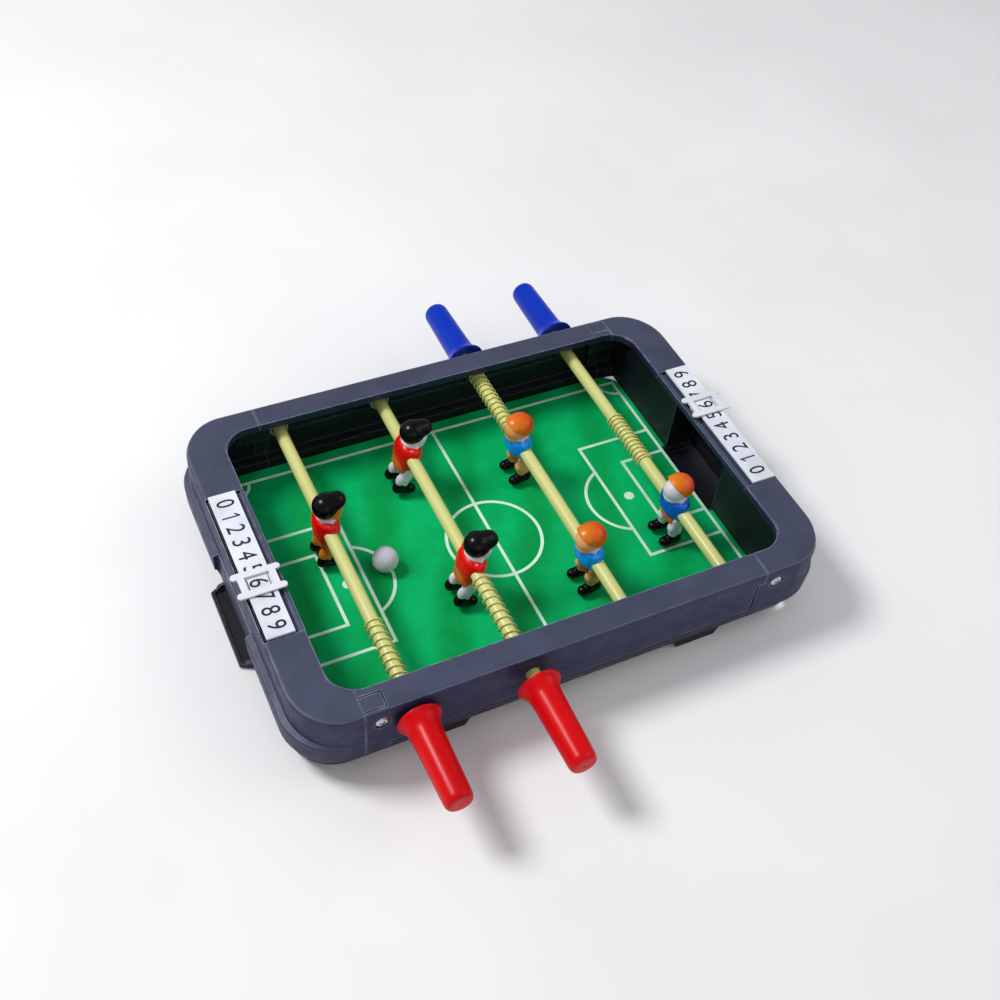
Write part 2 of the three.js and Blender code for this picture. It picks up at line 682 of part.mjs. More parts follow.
// A figure on its rod, looking along +X, with the rod's axis through its chest along Y at the origin.
function figure() {
  const { headZ, headHalfLength, headHalfWidth, headHalfHeight } = FIGURE;
  const { shoulderHalfWidth, legY, soleZ } = FIGURE;
  const chest = roundY(5.4, -8, 8, 0, 0, 12);
  const belly = ellipsoid([0, 0, -4.5], [5, 7.6, 6]);
  const shorts = box([-4.2, 4.2], [-7.7, 7.7], [-13, -6]);
  const neck = limb([0, 0, 3], [0.2, 0, 8], 2.9, 2.6);
  const head = ellipsoid([0.3, 0, headZ], [headHalfLength, headHalfWidth, headHalfHeight]);
  const arms = [-1, 1].map((s) =>
    limb([0, s * (shoulderHalfWidth - 2.2), 4.2], [2.6, s * (shoulderHalfWidth - 2), -7.5], 2.4, 1.7),
  );
  const legs = [-1, 1].map((s) => {
    const shin = limb([0, s * legY, -12], [-0.2, s * (legY + 0.3), -22], 2.7, 2);
    const sole = [s * (legY + 0.4) - 2.1, s * (legY + 0.4) + 2.1];
    return shin.add(box([-2.7, 5.4], sole, [soleZ, soleZ + 2.9]));
  });
  const body = union([chest, belly, shorts, neck, head, ...arms, ...legs]);
  return body.subtract(roundY(ROD.holeRadius, -14, 14, 0, 0, 12));
}

function screw(x) {
  const seat = FRAME.halfWidth - SCREW.seat;
  const { headRadius: r, headHeight: h, shankRadius: s, length } = SCREW;
  const profile = [
    [0, -seat - h],
    [r - 1.2, -seat - h + 0.1],
    [r - 0.3, -seat - h + 0.6],
    [r, -seat - GAP],
    [s, -seat - GAP],
    [s, -seat + length - 1.5],
    [0, -seat + length],
  ];
  return turnedY(profile, 14).translate([x, 0, SCREW.z]);
}

// ---------- assembly ----------

const shell = frameShell();
addPair("front_wall", "back_wall", frontWall(shell), "frame");
addPair("left_end_frame", "right_end_frame", endFrame(shell), "frame");
addMesh("base_tray", baseTray(), "dark");
addMesh("pitch_sheet", pitchSheet(), "pitch");
addPair("left_goal_box", "right_goal_box", goalBox(), "frame");
addPair("left_goal_cover", "right_goal_cover", goalCover(), "frame");
addPair("left_score_plate", "right_score_plate", scorePlate(), "white");
addPair("left_score_marker", "right_score_marker", scoreMarker(), "white");
addPair("screw_front_left", "screw_back_right", screw(-SCREW.nearX), "steel");
addPair("screw_front_right", "screw_back_left", screw(SCREW.farX), "steel");
addPair("rod_collar_1", "rod_collar_4", collar(ROD_X[0]), "collar");
addPair("rod_collar_2", "rod_collar_3", collar(ROD_X[1]), "collar");

RODS.forEach((rod, i) => {
  const number = i + 1;
  const x = ROD_X[i];
  addMesh(`guide_pin_${number}`, guidePin(rod, x), "steel");
  addMesh(`rod_${number}`, rodTube(rod, x), "rod");

  const grip = addMesh(`handle_${number}`, handle(), rod.side < 0 ? "red" : "blue");
  grip.position.set(x, rod.flangeY, ROD.height);
  grip.rotation.z = rod.side < 0 ? HALF_TURN : 0;

  const spring = addMesh(`spring_${number}`, coilSpring(SPRINGS[i]), "steel");
  spring.position.set(x, 0, ROD.height);

  for (const [name, y] of Object.entries(rod.figures)) {
    const player = addMesh(name, figure(), rod.facing > 0 ? "red" : "blue");
    player.position.set(x, y, ROD.height);
    const facingTurn = rod.facing > 0 ? 0 : HALF_TURN;
    player.rotation.set(0, THREE.MathUtils.degToRad(rod.lean), facingTurn, "ZYX");
  }
});

const ball = ellipsoid([0, 0, 0], [BALL.radius, BALL.radius, BALL.radius], 14, 10);
addMesh("ball_1", ball, "white").position.set(BALL_1.x, BALL_1.y, PITCH.top + BALL.radius + 0.05);
addMesh("ball_2", ball, "white").position.set(BALL_2.x, BALL_2.y, BALL_2.z);

export default root;
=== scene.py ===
"""Looks of the tabletop foosball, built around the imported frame.

Everything is in metres, +Z up, in the frame's own axes. Sizes are written in millimetres and go
through MM. Pieces take their places from the frame's nodes, so nothing is fitted by hand.
"""

import math

import bmesh
import bpy
from mathutils import Euler, Matrix, Vector


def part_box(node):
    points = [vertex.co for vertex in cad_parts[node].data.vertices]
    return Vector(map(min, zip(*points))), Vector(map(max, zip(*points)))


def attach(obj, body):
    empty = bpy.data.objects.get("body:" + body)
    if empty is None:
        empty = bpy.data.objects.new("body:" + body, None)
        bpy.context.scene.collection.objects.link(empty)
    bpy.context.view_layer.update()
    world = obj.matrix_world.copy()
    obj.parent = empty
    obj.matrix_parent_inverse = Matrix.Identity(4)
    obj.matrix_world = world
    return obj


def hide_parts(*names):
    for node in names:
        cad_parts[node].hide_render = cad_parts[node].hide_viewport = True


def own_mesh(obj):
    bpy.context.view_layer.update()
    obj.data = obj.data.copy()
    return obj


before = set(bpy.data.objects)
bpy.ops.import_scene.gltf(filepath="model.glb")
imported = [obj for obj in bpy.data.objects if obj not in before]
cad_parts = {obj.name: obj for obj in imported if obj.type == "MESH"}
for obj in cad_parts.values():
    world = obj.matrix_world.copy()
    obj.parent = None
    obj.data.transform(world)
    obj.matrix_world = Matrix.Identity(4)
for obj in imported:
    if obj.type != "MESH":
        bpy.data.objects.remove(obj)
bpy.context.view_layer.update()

MM = 0.001
TURN = 2 * math.pi

# ---------- places, read from the frame ----------


def middle(node):
    """The centre of a node's box, in metres."""
    low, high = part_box(node)
    return (low + high) / 2


def span_y(node):
    """Where a node starts and ends along the rods."""
    low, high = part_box(node)
    return low.y, high.y


RODS = (1, 2, 3, 4)
HANDLE_SIDE = {i: math.copysign(1, middle(f"handle_{i}").y) for i in RODS}
ROD_AXIS = {i: Vector((middle(f"rod_{i}").x, 0, middle(f"rod_{i}").z)) for i in RODS}
PITCH_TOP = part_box("pitch_sheet")[1].z

# ---------- sizes in millimetres ----------
# A core or tip radius is the fine hole or flat that a turned solid keeps on its axis.

ROD_RADIUS = 3.2
ROD_BORE = 2.1
ROD_SOLID_END = 4
ROD_CORE = 0.3
PIN_RADIUS = 1.6
PIN_TIP_RADIUS = 0.1
COLLAR = {"pin_gap": 0.3, "rod_gap": 0.4, "back": 1.8}
SPRING = {"radius": 3.95, "wire_radius": 0.36, "turns": 13, "flat_turns": 0.9, "flat_pitch": 0.8}
GRIP = {"rod_gap": 0.3, "core": 0.4, "socket_end": 15}
SCREW = {
    "dome_height": 1.2,
    "dome_steps": 10,
    "brim": 1.4,
    "shank_radius": 1.3,
    "point": 1.5,
    "tip_radius": 0.05,
    "slot_reach": 1.75,
    "slot_depth": 0.9,
    "slot_half_width": 0.38,
    "slot_turns_degrees": (20, 110),
}
BALL = {"radius": 6.4, "ridge": 0.07, "ridge_share": 0.03, "tilt_degrees": (35, 20, 0)}
LEAN_DEGREES = {
    "goalkeeper_1": 4,
    "player_2_back": 13,
    "player_2_front": 13,
    "player_3_back": 4,
    "player_3_front": 4,
    "goalkeeper_4": 0,
}

PITCH_MARKS = {
    "goal_line": 110.1,
    "touch_line": 78.2,
    "line_width": 1.6,
    "penalty_depth": 41.8,
    "penalty_half_width": 38.5,
    "goal_area_depth": 24.6,
    "goal_area_half_width": 22.1,
    "circle_radius": 23.9,
    "spot_from_goal_line": 32.8,
    "spot_radius": 2.6,
    "centre_spot_radius": 1.8,
    "arc_radius": 22.5,
    "corner_radius": 9.0,
    "ink_height": 0.06,
    "ink_step": 0.003,
    "ink_sunk": 0.02,
}
DIGIT = {
    "count": 10,
    "pitch": 8.07,
    "shift": -0.45,
    "height": 8.3,
    "width_share": 0.84,
    "font_size_share": 1.42,
    "ink": 0.12,
    "lift_share": 0.3,
    "fattening": 0.008,
}
# Painted shadow lines at the two ends of the marker's window: where they sit and how big they are.
WINDOW_SHADOW_LINE = {"reach": 4.7, "half_length": 3.2, "half_width": 0.16, "bottom": 0.02, "top": 0.1}

# The frame's inner outline is a box whose corners are quarter ellipses about the given points. A face is
# inside when it is within the outline and below the rim, both with a soft edge, and there it gets painted
# shade. BEYOND is a height in metres that nothing reaches, which keeps height out of the outline's test.
INSIDE = {"corner": (109, 67.7), "radii": (21.8, 24.5), "edge_share": (0.945, 0.965), "rim": (40.5, 42.5)}
BEYOND = 10

# ---------- materials ----------


def srgb(red, green, blue):
    """A linear colour from the usual 0 to 255 values."""
    def linear(value):
        value /= 255
        return value / 12.92 if value <= 0.04045 else ((value + 0.055) / 1.055) ** 2.4

    return (linear(red), linear(green), linear(blue), 1.0)


def scaled(color, factor):
    """A darker or brighter colour."""
    return (color[0] * factor, color[1] * factor, color[2] * factor, 1.0)


class Finish:
    """One node material with a Principled shader and object coordinates to hang textures on."""

    def __init__(self, name):
        self.material = bpy.data.materials.new(name)
        self.material.use_nodes = True
        self.tree = self.material.node_tree
        self.shader = self.tree.nodes["Principled BSDF"]
        self.place = self.add("ShaderNodeTexCoord").outputs["Object"]

    def add(self, kind, **values):
        """Adds a node. A value is a socket to link, or the input's own number or colour."""
        node = self.tree.nodes.new(kind)
        self.set(node, **values)
        return node

    def feed(self, target, value):
        """Links a socket to an input, or writes a number or colour there."""
        if isinstance(value, bpy.types.NodeSocket):
            self.tree.links.new(value, target)
        else:
            target.default_value = value

    def set(self, node, **values):
        """Fills the node's inputs of these names, and its settings where it has no such input."""
        for key, value in values.items():
            name = key.replace("_", " ")
            if name in node.inputs:
                self.feed(node.inputs[name], value)
            else:
                setattr(node, key, value)

    def number(self, operation, *values):
        """A Math node with its inputs filled in order."""
        node = self.add("ShaderNodeMath", operation=operation)
        for target, value in zip(node.inputs, values):
            self.feed(target, value)
        return node.outputs["Value"]

    def vector(self, operation, *values):
        """A Vector Math node with its inputs filled in order. Lengths and dot products are numbers."""
        node = self.add("ShaderNodeVectorMath", operation=operation)
        for target, value in zip(node.inputs, values):
            self.feed(target, value)
        return node.outputs["Value" if operation in ("LENGTH", "DOT_PRODUCT") else "Vector"]

    def noise(self, per_metre, detail, place=None):
        """Cloudy noise from 0 to 1, with about per_metre blotches to the metre."""
        node = self.add("ShaderNodeTexNoise", Vector=place or self.place, Scale=per_metre, Detail=detail)
        return node.outputs["Fac"]

    def ramp(self, value, low, high, start=0.35, stop=0.65):
        """low where value is up to start, high from stop on, and a straight run between."""
        node = self.add(
            "ShaderNodeMapRange", Value=value, From_Min=start, From_Max=stop, To_Min=low, To_Max=high
        )
        return node.outputs["Result"]

    def mix(self, share, first, second):
        """The first colour where share is 0, the second where it is 1."""
        node = self.add("ShaderNodeMix", data_type="RGBA")
        for name, value in (("Factor", share), ("A", first), ("B", second)):
            self.feed(next(s for s in node.inputs if s.name == name and s.enabled), value)
        return next(s for s in node.outputs if s.enabled)

    def bump(self, height, depth_mm, strength, normal=None):
        """A normal roughened by height, on top of another normal where one is given."""
        node = self.add("ShaderNodeBump", Height=height, Distance=depth_mm * MM, Strength=strength)
        if normal is not None:
            self.tree.links.new(normal, node.inputs["Normal"])
        return node.outputs["Normal"]

    def worn_edges(self, radius_mm):
        """1 on sharp outer and inner edges, 0 on open faces."""
        eased = self.add("ShaderNodeBevel", Radius=radius_mm * MM, samples=4)
        plain = self.add("ShaderNodeNewGeometry")
        agreement = self.vector("DOT_PRODUCT", eased.outputs["Normal"], plain.outputs["Normal"])
        return self.ramp(agreement, 1, 0, 0.8, 0.98)

    def finish(self, **values):
        """Fills the shader's inputs and hands back the material."""
        self.set(self.shader, **values)
        return self.material


def frame_inside(f):
    """1 within the frame's walls and below its rim, where painted shade darkens the inner walls, 0 on the
    outer faces and the rim.
    """
    corner_x, corner_y = INSIDE["corner"]
    radius_x, radius_y = INSIDE["radii"]
    rim_start, rim_end = INSIDE["rim"]
    place = f.add("ShaderNodeNewGeometry").outputs["Position"]
    past = f.vector("SUBTRACT", f.vector("ABSOLUTE", place), (corner_x * MM, corner_y * MM, BEYOND))
    past = f.vector("MAXIMUM", past, (0, 0, 0))
    past = f.vector("MULTIPLY", past, (1 / (radius_x * MM), 1 / (radius_y * MM), 1))
    within = f.ramp(f.vector("LENGTH", past), 1, 0, *INSIDE["edge_share"])
    height = f.add("ShaderNodeSeparateXYZ", Vector=place).outputs["Z"]
    below = f.ramp(height, 1, 0, rim_start * MM, rim_end * MM)
    return f.number("MULTIPLY", within, below)


def upward(f):
    """1 on faces that look up, 0 on upright ones."""
    normal = f.add("ShaderNodeNewGeometry").outputs["Normal"]
    parts = f.add("ShaderNodeSeparateXYZ", Vector=normal)
    return f.ramp(parts.outputs["Z"], 0, 1, 0.1, 0.8)


def moulded_plastic(
    name, color, edge_wear_and_highlight, grain=0.05, roughness=(0.42, 0.58), inside=None, sides=None, edge_mm=0.5
):
    """Dull moulded plastic: fine spark-eroded grain, slight cloudiness and pale edges, partly wear and partly
    painted highlight.

    inside is a painted shade colour for the frame's inner walls, which also darkens their edges, and sides a
    colour for upright faces, painted shade where it is darker than the body and painted light where it is
    lighter."""
    f = Finish(name)
    cloud = f.ramp(f.noise(55, 4), 0, 1)
    specks = f.ramp(f.noise(2600, 2), 0, 0.22)
    body = f.mix(cloud, scaled(color, 0.86), scaled(color, 1.16))
    body = f.mix(specks, body, scaled(color, 1.5))
    # Painted light and shade: upright faces take their own colour, darker than the top on the frame and
    # lighter on the goal boxes.
    if sides:
        body = f.mix(upward(f), sides, body)
    # Painted shade: the frame's inner walls and their edges turn near black.
    if inside:
        within = frame_inside(f)
        body = f.mix(within, body, inside)
        edge_wear_and_highlight = f.mix(within, edge_wear_and_highlight, scaled(edge_wear_and_highlight, 0.35))
    # Pale edges in patches, partly wear and partly painted highlight.
    patches = f.ramp(f.noise(240, 4), 0.3, 0.95)
    body = f.mix(f.number("MULTIPLY", f.worn_edges(edge_mm), patches), body, edge_wear_and_highlight)
    rough = f.ramp(f.noise(140, 4), *roughness)
    fine = f.bump(f.noise(1500, 3), grain, 0.55)
    fine_and_slow = f.bump(f.noise(28, 2), 0.25, 0.12, fine)
    return f.finish(Base_Color=body, Roughness=rough, Normal=fine_and_slow, Specular_IOR_Level=0.35)


def glossy_plastic(
    name, color, roughness, coat, streaks=(1, 1, 1), dark=0.88, bright=1.08, specular=0.4
):
    """Shiny moulded plastic with soft colour drift, faint handling haze and an orange-peel skin.

    streaks scales the pattern along each axis: a small number draws it out that way."""
    f = Finish(name)
    place = f.add("ShaderNodeMapping", Vector=f.place, Scale=streaks).outputs["Vector"]
    body = f.mix(f.ramp(f.noise(70, 4, place), 0, 1), scaled(color, dark), scaled(color, bright))
    rough = f.ramp(f.noise(420, 4, place), *roughness)
    normal = f.bump(f.noise(520, 2, place), 0.03, 0.35)
    return f.finish(
        Base_Color=body, Roughness=rough, Normal=normal, Specular_IOR_Level=specular,
        Coat_Weight=coat, Coat_Roughness=0.12,
    )


def painted(name, color, second, roughness=(0.26, 0.4), coat=0.12, behind=None, specular=0.3):
    """Hand-sprayed enamel on a toy figure: drifts to a second colour, with a wavy glossy skin.

    behind is a colour that takes over toward the figure's back and hem, as (colour, start, end, slope):
    the bounds are on x + slope * z in mm."""
    f = Finish(name)
    body = f.mix(f.ramp(f.noise(130, 3), 0, 1), color, second)
    if behind:
        tint, start, end, slope = behind
        local = f.add("ShaderNodeAttribute", attribute_name="figure_place")
        parts = f.add("ShaderNodeSeparateXYZ", Vector=local.outputs["Vector"])
        along = f.number("MULTIPLY_ADD", parts.outputs["Z"], slope, parts.outputs["X"])
        body = f.mix(f.ramp(along, 1, 0, end, start), body, tint)
    rough = f.ramp(f.noise(600, 3), *roughness)
    normal = f.bump(f.noise(330, 2), 0.07, 0.4)
    return f.finish(
        Base_Color=body, Roughness=rough, Normal=normal, Specular_IOR_Level=specular,
        Coat_Weight=coat, Coat_Roughness=0.06,
    )


def metal(name, color, roughness=(0.18, 0.34), metallic=1.0):
    """Bright metal with faint stains and drawing marks."""
    f = Finish(name)
    body = f.mix(f.ramp(f.noise(700, 4), 0, 1), scaled(color, 0.82), color)
    rough = f.ramp(f.noise(900, 4), *roughness)
    normal = f.bump(f.noise(1600, 2), 0.01, 0.4)
    return f.finish(Base_Color=body, Roughness=rough, Normal=normal, Metallic=metallic)


def printed_pitch(name):
    """Printed card under a thin gloss: two greens in soft mown bands and fine print mottling."""
    f = Finish(name)
    place = f.add("ShaderNodeMapping", Vector=f.place, Rotation=(0, 0, math.radians(24))).outputs["Vector"]
    waves = f.add("ShaderNodeTexWave", Vector=place, Scale=8.5, Distortion=2.2, Detail=2.0)
    bands = f.ramp(waves.outputs["Fac"], 0, 0.6, 0.3, 0.95)
    dots = f.ramp(f.noise(900, 4), 0, 0.16)
    clouds = f.ramp(f.noise(60, 4), 0, 0.3)
    body = f.mix(bands, srgb(0, 186, 106), srgb(0, 138, 50))
    body = f.mix(dots, body, srgb(30, 204, 126))
    body = f.mix(clouds, body, srgb(0, 122, 46))
    rough = f.ramp(f.noise(300, 3), 0.5, 0.66)
    normal = f.bump(f.noise(2200, 2), 0.01, 0.4)
    return f.finish(Base_Color=body, Roughness=rough, Normal=normal, Specular_IOR_Level=0.08)


SLATE = srgb(61, 66, 88)
# Painted shade: the frame's upright faces are darker than its top.
SLATE_SIDE_SHADE = srgb(29, 33, 72)
# Pale frame edges, partly wear and partly painted highlight.
SLATE_EDGE_WEAR_AND_HIGHLIGHT = srgb(160, 165, 190)
# Painted shade for the frame's inner walls.
SHADED_INSIDE_COLOR = srgb(12, 13, 24)
FINISHES = {
    "frame": moulded_plastic(
        "frame_plastic", SLATE, SLATE_EDGE_WEAR_AND_HIGHLIGHT, inside=SHADED_INSIDE_COLOR, sides=SLATE_SIDE_SHADE, edge_mm=1.0
    ),
    # Painted shade and light: the near-black body stands in for the goal pocket's shade, the upright faces
    # are a lighter lit copy, and the pale edges are partly wear and partly painted highlight.
    "catcher": moulded_plastic(
        "catcher_plastic", srgb(12, 13, 20), srgb(112, 116, 146), sides=srgb(24, 26, 40), edge_mm=0.8
    ),
    "tray": moulded_plastic("tray_plastic", srgb(30, 30, 42), srgb(70, 70, 88)),
    "pitch": printed_pitch("pitch_print"),
    "line": moulded_plastic("pitch_line_ink", srgb(206, 238, 218), srgb(225, 245, 232), 0.01, (0.4, 0.5)),
    "white": moulded_plastic("score_white", srgb(216, 221, 230), srgb(240, 243, 248), 0.03, (0.3, 0.42)),
    "marker": glossy_plastic("marker_white", srgb(226, 228, 234), (0.22, 0.34), 0.2, dark=0.94, bright=1.04),
    # The dark ink of the digits, also used for the painted shadow lines in the markers' windows.
    "ink": glossy_plastic("digit_ink_and_window_shadow", srgb(34, 38, 46), (0.3, 0.4), 0.1),
    "rod": glossy_plastic("rod_yellow", srgb(210, 211, 134), (0.3, 0.42), 0.1, (1, 0.06, 1), 0.93, 1.05),
    "red": glossy_plastic("handle_red", srgb(206, 0, 8), (0.3, 0.4), 0.05, (1, 0.1, 1), specular=0.15),
    "blue": glossy_plastic("handle_blue", srgb(0, 50, 184), (0.3, 0.4), 0.05, (1, 0.1, 1), specular=0.15),
    "steel": metal("screw_steel", srgb(206, 208, 216)),
    "spring": metal("spring_wire", srgb(244, 238, 150), (0.3, 0.42), 0.25),
    "collar": glossy_plastic("collar_grey", srgb(140, 142, 150), (0.35, 0.5), 0.1),
    "ball": moulded_plastic("ball_white", srgb(206, 206, 216), srgb(230, 228, 236), 0.05, (0.35, 0.5)),
    "black": painted("paint_black", srgb(4, 4, 6), srgb(9, 9, 12), (0.2, 0.3), 0.08, specular=0.14),
    "shirt_red": painted(
        "paint_shirt_red", srgb(236, 8, 4), srgb(208, 0, 0), behind=(srgb(226, 106, 8), -7.4, -7.9, 0.62)
    ),
    "shirt_blue": painted("paint_shirt_blue", srgb(0, 158, 242), srgb(0, 126, 226), coat=0.3),
    "shirt_navy": painted("paint_shirt_navy", srgb(0, 104, 206), srgb(0, 70, 168)),
    "hair_orange": painted(
        "paint_hair_orange", srgb(230, 138, 8), srgb(220, 112, 0), behind=(srgb(212, 66, 0), 0.5, -10.0, -0.3)
    ),
    "short_orange": painted("paint_shorts_orange", srgb(226, 100, 8), srgb(208, 70, 6)),
    "short_red": painted("paint_shorts_red", srgb(200, 40, 20), srgb(170, 14, 10)),
    "tan": painted("paint_tan", srgb(226, 138, 34), srgb(208, 98, 12)),
    "flesh": painted("paint_flesh", srgb(240, 178, 118), srgb(230, 150, 86)),
    "pale": painted("paint_white", srgb(226, 226, 234), srgb(206, 206, 218)),
}

# ---------- mesh tools ----------


def in_scene(name, data):
    """A new object in the scene."""
    obj = bpy.data.objects.new(name, data)
    bpy.context.scene.collection.objects.link(obj)
    return obj


def as_object(name, mesh, finishes):
    """A new object with these finishes as its material slots, in order."""
    obj = in_scene(name, mesh)
    for finish in finishes:
        obj.data.materials.append(FINISHES[finish])
    return obj


def modified_mesh(obj):
    """A new mesh with the object's modifiers applied."""
    bpy.context.view_layer.update()
    return bpy.data.meshes.new_from_object(obj.evaluated_get(bpy.context.evaluated_depsgraph_get()))


def soften(mesh, degrees=35):
    """Smooth shading with hard edges above the angle."""
    mesh.shade_smooth()
    mesh.set_sharp_from_angle(angle=math.radians(degrees))


def mesh_from(name, build, degrees=35):
    """A mesh from a function that fills a bmesh, with its faces turned outward."""
    bm = bmesh.new()
    build(bm)
    bmesh.ops.recalc_face_normals(bm, faces=bm.faces)
    mesh = bpy.data.meshes.new(name)
    bm.to_mesh(mesh)
    bm.free()
    soften(mesh, degrees)
    return mesh


def loop_skin(bm, loops, closed=False):
    """Joins equal loops of vertices side by side, and caps the two ends unless the chain is closed."""
    count = len(loops[0])
    pairs = list(zip(loops, loops[1:]))
    if closed:
        pairs.append((loops[-1], loops[0]))
    for a, b in pairs:
        for i in range(count):
            j = (i + 1) % count
            bm.faces.new((a[i], a[j], b[j], b[i]))
    if not closed:
        bm.faces.new(list(reversed(loops[0])))
        bm.faces.new(loops[-1])


def lathe(bm, profile, centre, facing, segments, closed=False):
    """Turns [radius, distance] pairs, in mm, about the line along Y through centre.

    facing is the way that distance grows along Y. A closed profile is a ring with a bore."""
    loops = []
    for radius, distance in profile:
        y = centre.y + facing * distance * MM
        loops.append([
            bm.verts.new((
                centre.x + radius * MM * math.cos(TURN * i / segments),
                y,
                centre.z + radius * MM * math.sin(TURN * i / segments),
            ))
            for i in range(segments)
        ])
    loop_skin(bm, loops, closed)


def rounded(corners, radius, steps=5):
    """A profile whose inner corners are rounded. Each corner may carry its own radius as a third value."""
    points = [Vector(c[:2]) for c in corners]
    out = [tuple(points[0])]
    for k in range(1, len(points) - 1):
        own = corners[k][2] if len(corners[k]) > 2 else radius
        before, here, after = points[k - 1], points[k], points[k + 1]
        back, ahead = (before - here), (after - here)
        reach = min(own, back.length * 0.48, ahead.length * 0.48)
        a, b = here + back.normalized() * reach, here + ahead.normalized() * reach
        for i in range(steps + 1):
            t = i / steps
            out.append(tuple(a * (1 - t) ** 2 + here * 2 * t * (1 - t) + b * t * t))
    out.append(tuple(points[-1]))
    return out


def add_piece(name, mesh, finishes, body, replaced=()):
    """Puts a piece in the scene on its body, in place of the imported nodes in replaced."""
    obj = as_object(name, mesh, finishes)
    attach(obj, body)
    if replaced:
        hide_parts(*replaced)
    return obj


# ---------- frame pieces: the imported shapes, with eased edges ----------

WELD_GAP = 0.002
FLAT_DEGREES = 0.6
EDGE_DEGREES = 28
EDGE_STEPS = 2
FLAT_FACE_WEIGHT = 80


def dress(node, finish, bevel_mm, flats=True):
    """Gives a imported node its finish, one face for each flat, and small rounds on its edges."""
    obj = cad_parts[node]
    obj.data.materials.clear()
    obj.data.materials.append(FINISHES[finish])
    for polygon in obj.data.polygons:
        polygon.use_smooth = True
    weld = obj.modifiers.new("weld", "WELD")
    weld.merge_threshold = WELD_GAP * MM
    if flats:
        dissolve = obj.modifiers.new("flats", "DECIMATE")
        dissolve.decimate_type = "DISSOLVE"
        dissolve.angle_limit = math.radians(FLAT_DEGREES)
        dissolve.delimit = {"SHARP"}
    round_off = obj.modifiers.new("rounds", "BEVEL")
    round_off.width = bevel_mm * MM
    round_off.segments = EDGE_STEPS
    round_off.limit_method = "ANGLE"
    round_off.angle_limit = math.radians(EDGE_DEGREES)
    round_off.miter_outer = "MITER_ARC"
    shade = obj.modifiers.new("shade", "WEIGHTED_NORMAL")
    shade.weight = FLAT_FACE_WEIGHT


for wall in ("front_wall", "back_wall", "left_end_frame", "right_end_frame"):
    dress(wall, "frame", 0.4)
for side in ("left", "right"):
    dress(f"{side}_goal_box", "catcher", 0.3)
    dress(f"{side}_goal_cover", "frame", 0.15)
    dress(f"{side}_score_plate", "white", 0.15)
    dress(f"{side}_score_marker", "marker", 0.2, flats=False)
dress("base_tray", "tray", 0.2)
dress("pitch_sheet", "pitch", 0.1)

# ---------- printed marks on the pitch ----------


def ink_levels(level):
    """The bottom and top of a printed mark: just inside the sheet, and level mm above it."""
    return PITCH_TOP - PITCH_MARKS["ink_sunk"] * MM, PITCH_TOP + level * MM


def stroke(bm, points, width, level, closed):
    """One printed line: a thin closed slab along a path in mm, mitred at its corners."""
    path = [Vector((x, y)) for x, y in points]
    count = len(path)
    rails = []
    for i, here in enumerate(path):
        before = path[i - 1] if closed or i else None
        after = path[(i + 1) % count] if closed or i + 1 < count else None
        a = (here - before).normalized() if before is not None else None
        b = (after - here).normalized() if after is not None else None
        a, b = a or b, b or a
        normal = Vector((-(a + b).y, (a + b).x)).normalized()
        reach = width / 2 / max(0.3, normal.dot(Vector((-a.y, a.x))))
        rails.append((here + normal * reach, here - normal * reach))
    low, high = ink_levels(level)
    loops = []
    for left, right in rails:
        corners = ((left, low), (right, low), (right, high), (left, high))
        loops.append([bm.verts.new((p.x * MM, p.y * MM, z)) for p, z in corners])
    loop_skin(bm, loops, closed)


def disc(bm, x, y, radius, level):
    """A printed spot."""
    outline = arc(x, y, radius, 0, TURN)[:-1]
    loop_skin(bm, [[bm.verts.new((a * MM, b * MM, z)) for a, b in outline] for z in ink_levels(level)])


def arc(x, y, radius, start, stop, steps=40):
    """Points in mm along a circle, from one angle to another."""
    angles = [start + (stop - start) * i / steps for i in range(steps + 1)]
    return [(x + radius * math.cos(a), y + radius * math.sin(a)) for a in angles]


def pitch_marks(bm):
    """Every line and spot. Each is a little higher than the last, so that none lie in one plane."""
    m = PITCH_MARKS
    goal, touch, width = m["goal_line"], m["touch_line"], m["line_width"]
    level = m["ink_height"]

    def draw(points, closed=False):
        nonlocal level
        level += m["ink_step"]
        stroke(bm, points, width, level, closed)

    draw([(-goal, -touch), (goal, -touch), (goal, touch), (-goal, touch)], True)
    draw([(0, -touch), (0, touch)])
    draw(arc(0, 0, m["circle_radius"], 0, TURN, 96)[:-1], True)
    disc(bm, 0, 0, m["centre_spot_radius"], level + 2 * m["ink_step"])
    for end in (-1, 1):
        for depth, half in (
            (m["penalty_depth"], m["penalty_half_width"]),
            (m["goal_area_depth"], m["goal_area_half_width"]),
        ):
            inner = end * (goal - depth)
            draw([(end * goal, -half), (inner, -half), (inner, half), (end * goal, half)])
        spot = end * (goal - m["spot_from_goal_line"])
        disc(bm, spot, 0, m["spot_radius"], level)
        reach = math.acos((m["penalty_depth"] - m["spot_from_goal_line"]) / m["arc_radius"])
        toward = 0 if end < 0 else math.pi
        draw(arc(spot, 0, m["arc_radius"], toward - reach, toward + reach))
        for side in (-1, 1):
            start = math.atan2(-side, -end) - TURN / 8
            draw(arc(end * goal, side * touch, m["corner_radius"], start, start + TURN / 4, 14))


add_piece("pitch_marks", mesh_from("pitch_marks", pitch_marks), ["line"], "frame")

# ---------- score digits ----------


def digit_mesh(name, text, size):
    """The outline of a digit from the built-in font as a thin closed solid, centred on the origin."""
    curve = bpy.data.curves.new(name, "FONT")
    curve.body = text
    curve.align_x, curve.align_y = "CENTER", "CENTER"
    curve.size = size
    curve.extrude = DIGIT["ink"] / 2 * MM
    curve.offset = DIGIT["fattening"] * MM
    curve.resolution_u = 6
    holder = in_scene(name, curve)
    mesh = modified_mesh(holder)
    bpy.data.objects.remove(holder)
    return mesh


